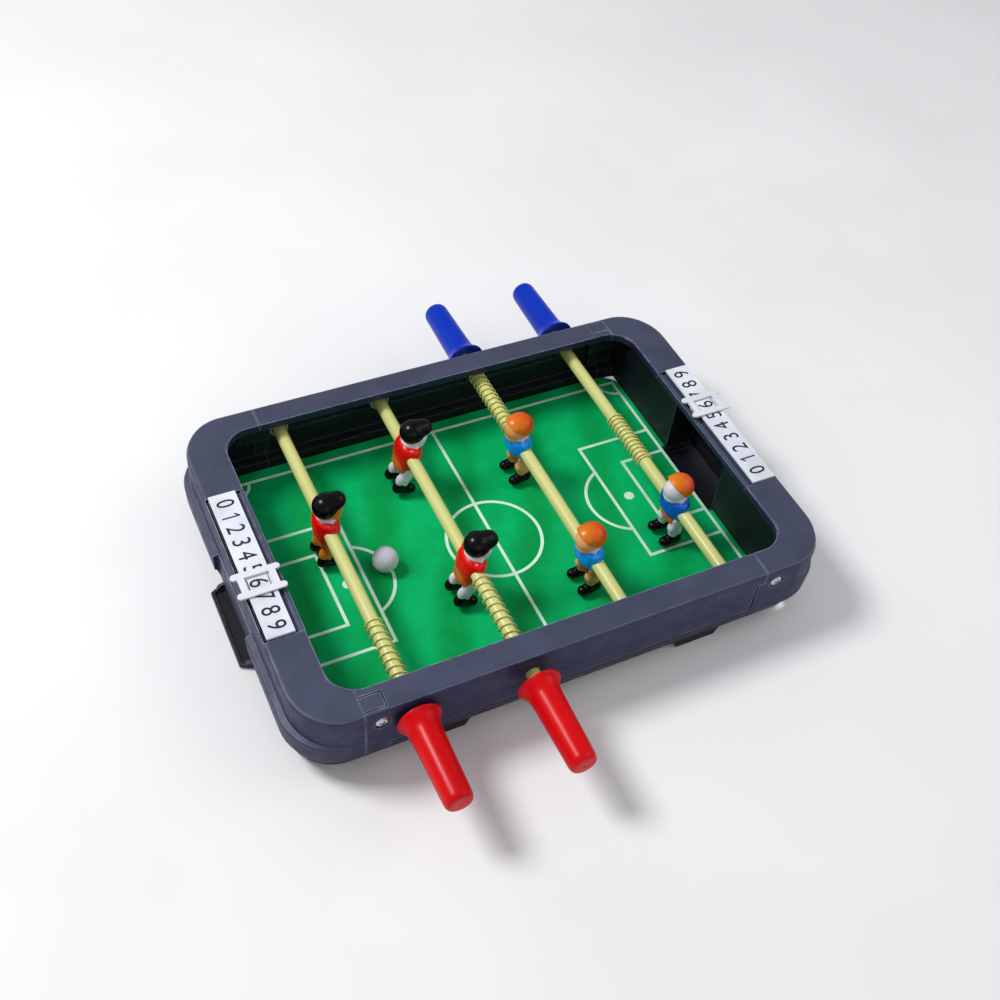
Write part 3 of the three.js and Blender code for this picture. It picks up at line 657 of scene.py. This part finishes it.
def flagged_one(name):
    """The digit 1: an upright bar with a slanted flag at its top left, in plate units of one height."""
    outline = [(0.0, -0.5), (0.11, -0.5), (0.11, 0.5), (0.02, 0.5), (-0.2, 0.3), (-0.2, 0.19), (0.0, 0.34)]
    half = DIGIT["ink"] / 2 * MM
    height = DIGIT["height"] * MM

    def build(bm):
        loops = [[bm.verts.new((x * height, y * height, z)) for x, y in outline] for z in (-half, half)]
        loop_skin(bm, loops)

    return mesh_from(name, build)


def score_digits(side):
    """The row of digits on a score plate, read from the table's end that the plate is on."""
    low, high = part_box(f"{side}_score_plate")
    way = 1 if side == "left" else -1
    combined = bmesh.new()
    for value in range(DIGIT["count"]):
        name = f"{side}_digit_{value}"
        if value == 1:
            mesh = flagged_one(name)
        else:
            mesh = digit_mesh(name, str(value), DIGIT["height"] * DIGIT["font_size_share"] * MM)
        xs = [v.co.x for v in mesh.vertices]
        ys = [v.co.y for v in mesh.vertices]
        recentre = Matrix.Translation((-(min(xs) + max(xs)) / 2, -(min(ys) + max(ys)) / 2, 0))
        taller = DIGIT["height"] * MM / (max(ys) - min(ys))
        narrow = Matrix.Diagonal((DIGIT["width_share"], taller, 1, 1))
        turn = Matrix.Rotation(-way * TURN / 4, 4, "Z")
        y = way * (((DIGIT["count"] - 1) / 2 - value) * DIGIT["pitch"] + DIGIT["shift"]) * MM
        z = high.z + DIGIT["lift_share"] * DIGIT["ink"] * MM
        place = Matrix.Translation(((low.x + high.x) / 2, y, z))
        mesh.transform(place @ turn @ narrow @ recentre)
        combined.from_mesh(mesh)
    mesh = bpy.data.meshes.new(f"{side}_digits")
    bmesh.ops.remove_doubles(combined, verts=combined.verts, dist=0.0005 * MM)
    combined.to_mesh(mesh)
    combined.free()
    soften(mesh)
    add_piece(f"{side}_digits", mesh, ["ink"], "frame")


def marker_ticks(side):
    """Painted shadow: two fine dark lines at the ends of the marker's window, where its edges cast shade."""
    node = f"{side}_score_marker"
    centre = middle(node)
    plate_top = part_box(f"{side}_score_plate")[1].z
    half = Vector((WINDOW_SHADOW_LINE["half_width"], WINDOW_SHADOW_LINE["half_length"], 0)) * MM
    corners = [(-1, -1), (1, -1), (1, 1), (-1, 1)]

    def build(bm):
        for end in (-1, 1):
            x = centre.x + end * WINDOW_SHADOW_LINE["reach"] * MM
            loop_skin(bm, [
                [bm.verts.new((x + a * half.x, centre.y + b * half.y, z)) for a, b in corners]
                for z in (plate_top + WINDOW_SHADOW_LINE["bottom"] * MM, plate_top + WINDOW_SHADOW_LINE["top"] * MM)
            ])

    add_piece(f"{side}_marker_ticks", mesh_from(f"{side}_ticks", build), ["ink"], node)


for side in ("left", "right"):
    score_digits(side)
    marker_ticks(side)

# ---------- rods, pins, collars, springs, handles ----------


def rod_tube(i):
    """A tube, open at its far end for the guide pin and solid inside the handle."""
    near, far = span_y(f"rod_{i}")
    side = HANDLE_SIDE[i]
    start = near if side > 0 else far
    length = (far - near) / MM
    bore_end = length - ROD_SOLID_END

    def build(bm):
        outer = [(ROD_BORE, 0), (ROD_RADIUS, 0), (ROD_RADIUS, length, 0.3), (ROD_CORE, length)]
        profile = rounded(outer, 0.35) + [(ROD_CORE, bore_end), (ROD_BORE, bore_end)]
        lathe(bm, profile, Vector((ROD_AXIS[i].x, start, ROD_AXIS[i].z)), side, 64, closed=True)

    mesh = mesh_from(f"rod_{i}_tube", build)
    add_piece(f"rod_{i}_tube", mesh, ["rod"], f"rod_{i}", [f"rod_{i}"])


def guide_pin(i):
    """The steel pin that stands on the far wall and runs into the rod."""
    near, far = span_y(f"guide_pin_{i}")
    length = (far - near) / MM
    start = near if HANDLE_SIDE[i] > 0 else far

    def build(bm):
        tip = PIN_TIP_RADIUS
        profile = rounded([(tip, 0), (PIN_RADIUS, 0), (PIN_RADIUS, length, 0.8), (tip, length)], 0.3)
        lathe(bm, profile, Vector((ROD_AXIS[i].x, start, ROD_AXIS[i].z)), HANDLE_SIDE[i], 40)

    mesh = mesh_from(f"pin_{i}", build)
    add_piece(f"pin_{i}", mesh, ["steel"], f"guide_pin_{i}", [f"guide_pin_{i}"])


def collar_ring(i):
    """The cup that guides a rod's far end, with a rounded lip and a bore for the pin."""
    low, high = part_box(f"rod_collar_{i}")
    radius = (high.x - low.x) / 2 / MM
    length = (high.y - low.y) / MM
    inward = HANDLE_SIDE[i]
    start = low.y if inward > 0 else high.y

    def build(bm):
        hole = PIN_RADIUS + COLLAR["pin_gap"]
        cup = ROD_RADIUS + COLLAR["rod_gap"]
        profile = [
            (hole, 0),
            (radius, 0),
            (radius, length, 0.6),
            (cup, length),
            (cup, COLLAR["back"], 0.2),
            (hole, COLLAR["back"]),
        ]
        centre = Vector((ROD_AXIS[i].x, start, ROD_AXIS[i].z))
        lathe(bm, rounded(profile, 0.3), centre, inward, 56, closed=True)

    mesh = mesh_from(f"collar_{i}", build)
    add_piece(f"collar_{i}", mesh, ["collar"], "frame", [f"rod_collar_{i}"])


def spring_coil(i):
    """A drawn-wire spring whose last turn at each end lies flat."""
    wire, turns, flat = SPRING["wire_radius"], SPRING["turns"], SPRING["flat_turns"]
    near, far = span_y(f"spring_{i}")
    low, high = near / MM + wire, far / MM - wire
    steps_per_turn, sides = 40, 10
    axis = ROD_AXIS[i]

    def along(turn):
        """Distance down the spring: close end turns and open turns between them."""
        open_turns = turns - 2 * flat
        inside = min(max(turn - flat, 0), open_turns) / open_turns
        ends = min(turn, flat) + max(turn - flat - open_turns, 0)
        reach = high - low
        closed_share = 2 * flat * SPRING["flat_pitch"] / reach
        return low + reach * ((1 - closed_share) * inside + closed_share * ends / (2 * flat))

    def build(bm):
        loops = []
        for k in range(turns * steps_per_turn + 1):
            turn = k / steps_per_turn
            angle = TURN * turn
            y = along(turn)
            ring = []
            for j in range(sides):
                b = TURN * j / sides
                r = SPRING["radius"] + wire * math.cos(b)
                ring.append(bm.verts.new((
                    axis.x + r * MM * math.cos(angle),
                    (y + wire * math.sin(b)) * MM,
                    axis.z + r * MM * math.sin(angle),
                )))
            loops.append(ring)
        loop_skin(bm, loops)

    body = f"rod_{i}" if i == 4 else "frame"
    mesh = mesh_from(f"spring_{i}_coil", build, 60)
    return add_piece(f"spring_{i}_coil", mesh, ["spring"], body, [f"spring_{i}"])


def squeeze(i):
    """The spring on a rod whose shoulder pushes it against its seat when the handle is pulled, made with a
    mesh of its own.
    """
    spring = spring_coil(i)
    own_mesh(spring)


def handle_grip(i):
    """A trumpet-shaped grip: thin flared rim, long taper, domed end and a socket for the rod."""
    node = f"handle_{i}"
    near, far = span_y(node)
    side = HANDLE_SIDE[i]
    start = near if side > 0 else far
    length = (far - near) / MM
    low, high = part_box(node)
    rim = (high.x - low.x) / 2 / MM
    socket = ROD_RADIUS + GRIP["rod_gap"]
    socket_end = length - GRIP["socket_end"]

    def build(bm):
        outline = [
            (socket, 2.2),
            (ROD_RADIUS + 1.4, 0.9, 0.6),
            (rim - 1.2, 0.5, 0.8),
            (rim - 0.35, 0.0, 0.25),
            (rim, 0.35, 0.3),
            (rim - 0.1, 1.1, 0.4),
            (rim - 1.4, 2.6, 1.2),
            (7.45, 5.6, 2.5),
            (7.1, 10, 3),
            (6.45, length - 2.2, 2.6),
            (5.6, length - 0.15, 1.2),
            (GRIP["core"], length, 0.2),
            (GRIP["core"], socket_end),
            (socket, socket_end - 0.5),
        ]
        centre = Vector((ROD_AXIS[i].x, start, ROD_AXIS[i].z))
        lathe(bm, rounded(outline, 0.4, 6), centre, side, 72, closed=True)

    color = "red" if side < 0 else "blue"
    mesh = mesh_from(f"grip_{i}", build, 40)
    add_piece(f"grip_{i}", mesh, [color], f"rod_{i}", [node])


for i in RODS:
    rod_tube(i)
    guide_pin(i)
    collar_ring(i)
    handle_grip(i)
for i in (1, 4):
    spring_coil(i)
for i in (2, 3):
    squeeze(i)

# ---------- screws ----------


def cut_mesh(obj, cutter):
    """The object's mesh with the cutter taken away."""
    step = obj.modifiers.new("cut", "BOOLEAN")
    step.operation = "DIFFERENCE"
    step.solver = "EXACT"
    step.object = cutter
    mesh = modified_mesh(obj)
    obj.modifiers.clear()
    return mesh


def box_mesh(name, half):
    """A box about the origin, from its half sizes."""
    def build(bm):
        bmesh.ops.create_cube(bm, size=2)
        bmesh.ops.scale(bm, vec=half, verts=bm.verts)

    return mesh_from(name, build)


def pan_screw(name):
    """A pan-head screw with a cross recess. Only its head shows in the recess of the wall."""
    low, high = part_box(name)
    centre = (low + high) / 2
    out = math.copysign(1, centre.y)
    face = high.y if out > 0 else low.y
    head_radius = (high.x - low.x) / 2 / MM

    def build(bm):
        length = (high.y - low.y) / MM
        brim, shank, tip = SCREW["brim"], SCREW["shank_radius"], SCREW["tip_radius"]
        profile = [(tip, 0)]
        for k in range(1, SCREW["dome_steps"] + 1):
            a = TURN / 4 * k / SCREW["dome_steps"]
            profile.append((head_radius * math.sin(a), SCREW["dome_height"] * (1 - math.cos(a))))
        profile += [(head_radius - 0.1, brim), (shank, brim), (shank, length - SCREW["point"]), (tip, length)]
        lathe(bm, profile, Vector((centre.x, face, centre.z)), -out, 40)

    head = as_object("screw_blank", mesh_from("screw_blank", build), ["steel"])
    arms = []
    for degrees in SCREW["slot_turns_degrees"]:
        half = Vector((SCREW["slot_reach"], SCREW["slot_depth"], SCREW["slot_half_width"])) * MM
        arm = as_object("screw_arm", box_mesh("screw_arm", half), ["steel"])
        turn = Matrix.Rotation(math.radians(degrees), 4, "Y")
        arm.matrix_world = Matrix.Translation((centre.x, face, centre.z)) @ turn
        arms.append(arm)
    for arm in arms:
        head.data = cut_mesh(head, arm)
    mesh = head.data
    for scrap in (head, *arms):
        bpy.data.objects.remove(scrap)
    soften(mesh, 30)
    add_piece(f"{name}_cross", mesh, ["steel"], "frame", [name])


for name in ("screw_front_left", "screw_front_right", "screw_back_left", "screw_back_right"):
    pan_screw(name)

# ---------- balls ----------


def ball(i):
    """A hollow-moulded ball with a faint parting ridge round its middle."""
    centre = middle(f"ball_{i}")

    def build(bm):
        bmesh.ops.create_icosphere(bm, subdivisions=5, radius=1)
        tilt = Euler([math.radians(degrees) for degrees in BALL["tilt_degrees"]]).to_matrix()
        for v in bm.verts:
            ridge = BALL["ridge"] * math.exp(-((v.co.z / BALL["ridge_share"]) ** 2))
            v.co = centre + tilt @ (v.co * (BALL["radius"] + ridge) * MM)

    mesh = mesh_from(f"ball_{i}_shell", build, 60)
    add_piece(f"ball_{i}_shell", mesh, ["ball"], f"ball_{i}", [f"ball_{i}"])


for i in (1, 2):
    ball(i)

# ---------- figures ----------
# A figure is built looking along +X with the rod's axis along Y through the origin, in millimetres.

VOXEL = 0.3
BORE = {"gap": 0.1, "length": 30, "segments": 48}


def blob(bm, centre, radii, tilt=0.0):
    """An ellipsoid, tilted about Y by degrees: positive leans its top forward."""
    place = Matrix.Translation(centre) @ Matrix.Rotation(math.radians(tilt), 4, "Y")
    shape = place @ Matrix.Diagonal((*radii, 1))
    bmesh.ops.create_uvsphere(bm, u_segments=28, v_segments=14, radius=1, matrix=shape)


def limb(bm, start, end, r0, r1):
    """A straight limb with round ends of radius r0 and r1: a ball drawn out between the two."""
    a, b = Vector(start), Vector(end)
    along = (b - a).normalized()
    turn = Vector((0, 0, 1)).rotation_difference(along).to_matrix()
    made = bmesh.ops.create_uvsphere(bm, u_segments=20, v_segments=12, radius=1)
    just_above_middle = 0.001
    for v in made["verts"]:
        top = v.co.z > just_above_middle
        v.co = (b if top else a) + turn @ (v.co * (r1 if top else r0))


def loft(bm, sections):
    """A skin over stacked sections: (z, middle x, half depth, half width).

    They are slightly squared ellipses: power 2 is a true ellipse, and more is squarer."""
    sides, power = 36, 2.4
    loops = []
    for z, x, depth, width in sections:
        loop = []
        for k in range(sides):
            c, s = math.cos(TURN * k / sides), math.sin(TURN * k / sides)
            u = math.copysign(abs(c) ** (2 / power), c)
            w = math.copysign(abs(s) ** (2 / power), s)
            loop.append(bm.verts.new((x + depth * u, width * w, z)))
        loops.append(loop)
    loop_skin(bm, loops)


def trim(bm, point, normal):
    """Cuts away what lies beyond a plane and closes the cut."""
    geometry = bm.verts[:] + bm.edges[:] + bm.faces[:]
    cut = bmesh.ops.bisect_plane(bm, geom=geometry, plane_co=point, plane_no=normal, clear_outer=True)
    edges = [e for e in cut["geom_cut"] if isinstance(e, bmesh.types.BMEdge)]
    bmesh.ops.holes_fill(bm, edges=edges)
    bmesh.ops.triangulate(bm, faces=[f for f in bm.faces if len(f.verts) > 4])


def fuse(name, build, voxel=VOXEL, passes=4, planes=()):
    """Melts overlapping forms into one skin, trims it by planes and eases it."""
    bm = bmesh.new()
    build(bm)
    bmesh.ops.recalc_face_normals(bm, faces=bm.faces)
    for step in range(2 if planes else 1):
        mesh = bpy.data.meshes.new(name)
        bm.to_mesh(mesh)
        bm.free()
        obj = in_scene(name, mesh)
        melt = obj.modifiers.new("melt", "REMESH")
        melt.mode = "VOXEL"
        melt.voxel_size = voxel
        ease = obj.modifiers.new("ease", "SMOOTH")
        ease.factor = 0.5
        ease.iterations = passes
        done = modified_mesh(obj)
        bpy.data.objects.remove(obj)
        bm = bmesh.new()
        bm.from_mesh(done)
        if step == 0:
            for point, normal in planes:
                trim(bm, point, normal)
    done = bpy.data.meshes.new(name)
    bm.to_mesh(done)
    bm.free()
    return done


def bored(mesh):
    """Opens a fused part for the rod that runs through it."""
    radius = ROD_RADIUS + BORE["gap"]
    drill = bmesh.new()
    bmesh.ops.create_cone(
        drill, cap_ends=True, segments=BORE["segments"], radius1=radius, radius2=radius,
        depth=BORE["length"], matrix=Matrix.Rotation(TURN / 4, 4, "X"),
    )
    drill_mesh = bpy.data.meshes.new("drill")
    drill.to_mesh(drill_mesh)
    drill.free()
    blank, cutter = in_scene("blank", mesh), in_scene("drill", drill_mesh)
    done = cut_mesh(blank, cutter)
    for scrap in (blank, cutter):
        bpy.data.objects.remove(scrap)
    return done


def shirt(hem):
    """The torso and sleeves, ending at a hem height."""
    def build(bm):
        loft(bm, [
            (6.9, 0.4, 3.0, 3.6),
            (6.2, 0.3, 4.6, 5.9),
            (5.0, 0.2, 5.5, 7.6),
            (3.0, 0.2, 6.1, 8.3),
            (0.0, 0.3, 6.4, 8.4),
            (0.4 * hem, 0.3, 6.1, 8.0),
            (hem + 2.2, 0.1, 5.5, 7.4),
            (hem + 0.7, -0.1, 5.0, 6.8),
            (hem, -0.2, 4.3, 6.0),
        ])
        for side in (-1, 1):
            limb(bm, (0.2, side * 6.5, 4.1), (1.2, side * 7.4, 0.28 * hem), 2.9, 2.5)

    return build


def collar_band(bm):
    """A broad band round the neck that dips in front, with a pointed flap on each side."""
    sides, ring = 40, 10
    forward, half_depth, half_width, level, front_dip = 0.5, 4.5, 4.9, 6.9, 1.2
    half_thickness, half_height = 0.9, 1.1
    loops = []
    for k in range(sides):
        c, s = math.cos(TURN * k / sides), math.sin(TURN * k / sides)
        dip = front_dip * max(0.0, c) ** 3
        centre = Vector((forward + half_depth * c, half_width * s, level - dip))
        outward = Vector((c, s, 0.5)).normalized() * half_thickness
        up = Vector((-0.3 * c, -0.3 * s, 1)).normalized() * half_height
        turns = [TURN * j / ring for j in range(ring)]
        loops.append([bm.verts.new(centre + outward * math.cos(t) + up * math.sin(t)) for t in turns])
    loop_skin(bm, loops, closed=True)
    for side in (-1, 1):
        limb(bm, (0.8, side * 5.2, 6.6), (-0.2, side * 8.2, 3.2), 1.3, 0.5)


def face(bm):
    """Head and heavy jaw, thrust forward and plain."""
    blob(bm, (0.0, 0, 11.8), (6.2, 6.1, 5.9))
    blob(bm, (2.6, 0, 10.6), (5.2, 5.5, 5.2), 14)
    blob(bm, (2.8, 0, 7.6), (4.7, 5.0, 3.9), 10)
    limb(bm, (0.0, 0, 4.5), (0.2, 0, 8.4), 4.4, 4.9)


def quiff(bm):
    """Swept-forward hair, one egg that narrows to a blunt point over the brow."""
    blob(bm, (-0.4, 0, 12.7), (6.5, 6.6, 6.3))
    limb(bm, (0.6, 0, 13.6), (4.8, 0, 14.6), 5.6, 4.9)


def bowl(bm):
    """Round hair, fuller over the brow."""
    blob(bm, (-0.2, 0, 12.5), (7.1, 6.8, 6.3))
    blob(bm, (2.2, 0, 13.6), (6.1, 6.2, 4.9), 12)


def bare_arms(bm):
    """Forearms that come out of the sleeves."""
    for side in (-1, 1):
        limb(bm, (1.0, side * 7.4, -2.2), (2.2, side * 6.6, -6.0), 1.8, 1.4)


def shorts(bm):
    """Shorts from under the shirt to the thighs, fuller behind."""
    loft(bm, [
        (-4.2, 0.0, 4.9, 6.7),
        (-7.0, -0.3, 5.0, 7.0),
        (-9.0, -0.4, 4.7, 6.9),
        (-10.0, -0.4, 4.2, 6.4),
    ])
    blob(bm, (-2.6, 0, -9.4), (2.2, 3.4, 2.6))


def legs(bm):
    """Bent legs a little apart, with knees and calves."""
    for side in (-1, 1):
        limb(bm, (0.1, side * 4.3, -8.5), (0.4, side * 4.8, -14.0), 3.2, 2.9)
        limb(bm, (0.4, side * 4.8, -14.0), (0.2, side * 5.0, -20.5), 2.9, 2.1)
        blob(bm, (1.9, side * 4.8, -13.2), (2.0, 2.4, 3.0), 8)
        blob(bm, (-1.9, side * 4.8, -16.0), (2.2, 2.4, 3.8), -6)


def shoes(bm):
    """Boots with round toes. Their soles are cut flat afterwards."""
    for side in (-1, 1):
        limb(bm, (-2.0, side * 5.1, -20.8), (3.6, side * 5.5, -21.2), 3.0, 2.7)
        limb(bm, (-1.0, side * 5.0, -19.2), (0.8, side * 5.1, -19.4), 3.0, 2.7)
        blob(bm, (4.8, side * 5.6, -21.3), (2.9, 2.7, 2.6))


# Each of these is a list of planes, given by a point and the side that is cut away.
HAIR_LINE = [(Vector((-2.0, 0, 9.4)), Vector((0.62, 0, -1.0)))]
BOWL_LINE = [(Vector((-0.3, 0, 9.8)), Vector((0.9, 0, -1.0)))]
STEEP_LINE = [(Vector((-0.6, 0, 9.6)), Vector((1.15, 0, -1.0)))]
SOLE = [(Vector((0, 0, -23.5)), Vector((0, 0, -1)))]
FIGURE_PARTS = {
    "shirt_long": bored(fuse("shirt_long", shirt(-8.0))),
    "shirt_short": bored(fuse("shirt_short", shirt(-5.8))),
    "collar": fuse("collar", collar_band, 0.22, 2),
    "face": fuse("face", face, passes=8),
    "arms": fuse("arms", bare_arms),
    "shorts": fuse("shorts", shorts),
    "legs": fuse("legs", legs, passes=6),
    "shoes": fuse("shoes", shoes, passes=5, planes=SOLE),
    "hair_bowl": fuse("hair_bowl", bowl, passes=7, planes=BOWL_LINE),
    "hair_steep": fuse("hair_steep", bowl, passes=7, planes=STEEP_LINE),
    "hair_quiff": fuse("hair_quiff", quiff, passes=10, planes=HAIR_LINE),
}


def kit(hair_part, hair_color, skin, shirt_part, top, bottom):
    """The parts of a figure and the paint on each, hair first."""
    return {
        hair_part: hair_color,
        "face": skin,
        "collar": "pale",
        shirt_part: top,
        "arms": skin,
        "shorts": bottom,
        "legs": skin,
        "shoes": "black",
    }


RED_PLAYER = kit("hair_quiff", "black", "pale", "shirt_long", "shirt_red", "short_orange")
BLUE_PLAYER = kit("hair_bowl", "hair_orange", "flesh", "shirt_short", "shirt_blue", "short_red")
KITS = {
    "goalkeeper_1": kit("hair_quiff", "black", "tan", "shirt_long", "shirt_red", "short_orange"),
    "player_2_back": RED_PLAYER,
    "player_2_front": RED_PLAYER,
    "player_3_back": BLUE_PLAYER,
    "player_3_front": BLUE_PLAYER,
    "goalkeeper_4": kit("hair_steep", "hair_orange", "pale", "shirt_short", "shirt_navy", "short_orange"),
}


def figure(node):
    """Joins the painted parts, turned and leaned as the node is, on the node's rod.

    Each point keeps its own place on the upright figure, for paint that changes from front to back."""
    rod = int(node.split("_")[1])
    colors = list(dict.fromkeys(KITS[node].values()))
    combined = bmesh.new()
    for part, color in KITS[node].items():
        start = len(combined.faces)
        combined.from_mesh(FIGURE_PARTS[part])
        combined.faces.ensure_lookup_table()
        for f in combined.faces[start:]:
            f.material_index = colors.index(color)
    own = combined.verts.layers.float_vector.new("figure_place")
    for v in combined.verts:
        v[own] = v.co
    facing = 0 if HANDLE_SIDE[rod] < 0 else math.pi
    lean = math.radians(LEAN_DEGREES[node])
    place = (
        Matrix.Translation((ROD_AXIS[rod].x, middle(node).y, ROD_AXIS[rod].z))
        @ Matrix.Rotation(facing, 4, "Z")
        @ Matrix.Rotation(lean, 4, "Y")
        @ Matrix.Scale(MM, 4)
    )
    combined.transform(place)
    mesh = bpy.data.meshes.new(f"{node}_painted")
    combined.to_mesh(mesh)
    combined.free()
    soften(mesh, 60)
    add_piece(f"{node}_painted", mesh, colors, f"rod_{rod}", [node])


for node in KITS:
    figure(node)

# ---------- floor, light and camera ----------

CAMERA = {
    "place": Vector((-198.5, -335.0, 476.7)),
    "target": Vector((7.5, 11.8, 20.0)),
    "roll_degrees": 7.11,
    "lens": 44.2,
    "sensor": 36.0,
}

# Metres and watts: where each soft light stands, its width and its power.
LIGHTS = {
    "key": ((-0.75, 0.45, 1.15), 0.45, 14),
    "fill": ((0.9, -0.35, 0.9), 0.9, 2.6),
    "front": ((-0.2, -1.1, 0.7), 0.9, 1.2),
}
LIGHT_TARGET = Vector((0, 0, 0.02))
SKY = {"Color": (0.93, 0.95, 1.0, 1), "Strength": 0.4}
FLOOR_HALF_SIDE = 4


def floor():
    """The pale ground, as a stage that is no part of the model."""
    f = Finish("floor_paper")
    body = f.mix(f.ramp(f.noise(6, 3), 0, 1), srgb(240, 240, 240), srgb(246, 246, 246))
    normal = f.bump(f.noise(900, 2), 0.02, 0.2)
    material = f.finish(Base_Color=body, Roughness=0.75, Normal=normal)
    bm = bmesh.new()
    bmesh.ops.create_grid(bm, x_segments=8, y_segments=8, size=FLOOR_HALF_SIDE)
    mesh = bpy.data.meshes.new("floor")
    bm.to_mesh(mesh)
    bm.free()
    mesh.materials.append(material)
    in_scene("floor", mesh)


def area_light(name, place, size, power):
    """A round soft light aimed at the table."""
    data = bpy.data.lights.new(name, "AREA")
    data.shape = "DISK"
    data.size = size
    data.energy = power
    obj = in_scene(name, data)
    obj.location = place
    obj.rotation_euler = (LIGHT_TARGET - Vector(place)).to_track_quat("-Z", "Y").to_euler()


def studio():
    """A dim even sky and the soft lights."""
    world = bpy.data.worlds.new("studio")
    world.use_nodes = True
    for name, value in SKY.items():
        world.node_tree.nodes["Background"].inputs[name].default_value = value
    bpy.context.scene.world = world
    for name, (place, size, power) in LIGHTS.items():
        area_light(name, place, size, power)


def camera():
    """The photograph's viewpoint, solved from the printed table."""
    data = bpy.data.cameras.new("camera")
    data.lens = CAMERA["lens"]
    data.sensor_width = CAMERA["sensor"]
    data.clip_start = 0.01
    obj = in_scene("camera", data)
    aim = (CAMERA["target"] - CAMERA["place"]).to_track_quat("-Z", "Y")
    roll = Euler((0, 0, math.radians(CAMERA["roll_degrees"]))).to_quaternion()
    obj.location = CAMERA["place"] * MM
    obj.rotation_euler = (aim @ roll).to_euler()
    bpy.context.scene.camera = obj


floor()
studio()
camera()
bpy.context.scene.view_settings.view_transform = "Standard"
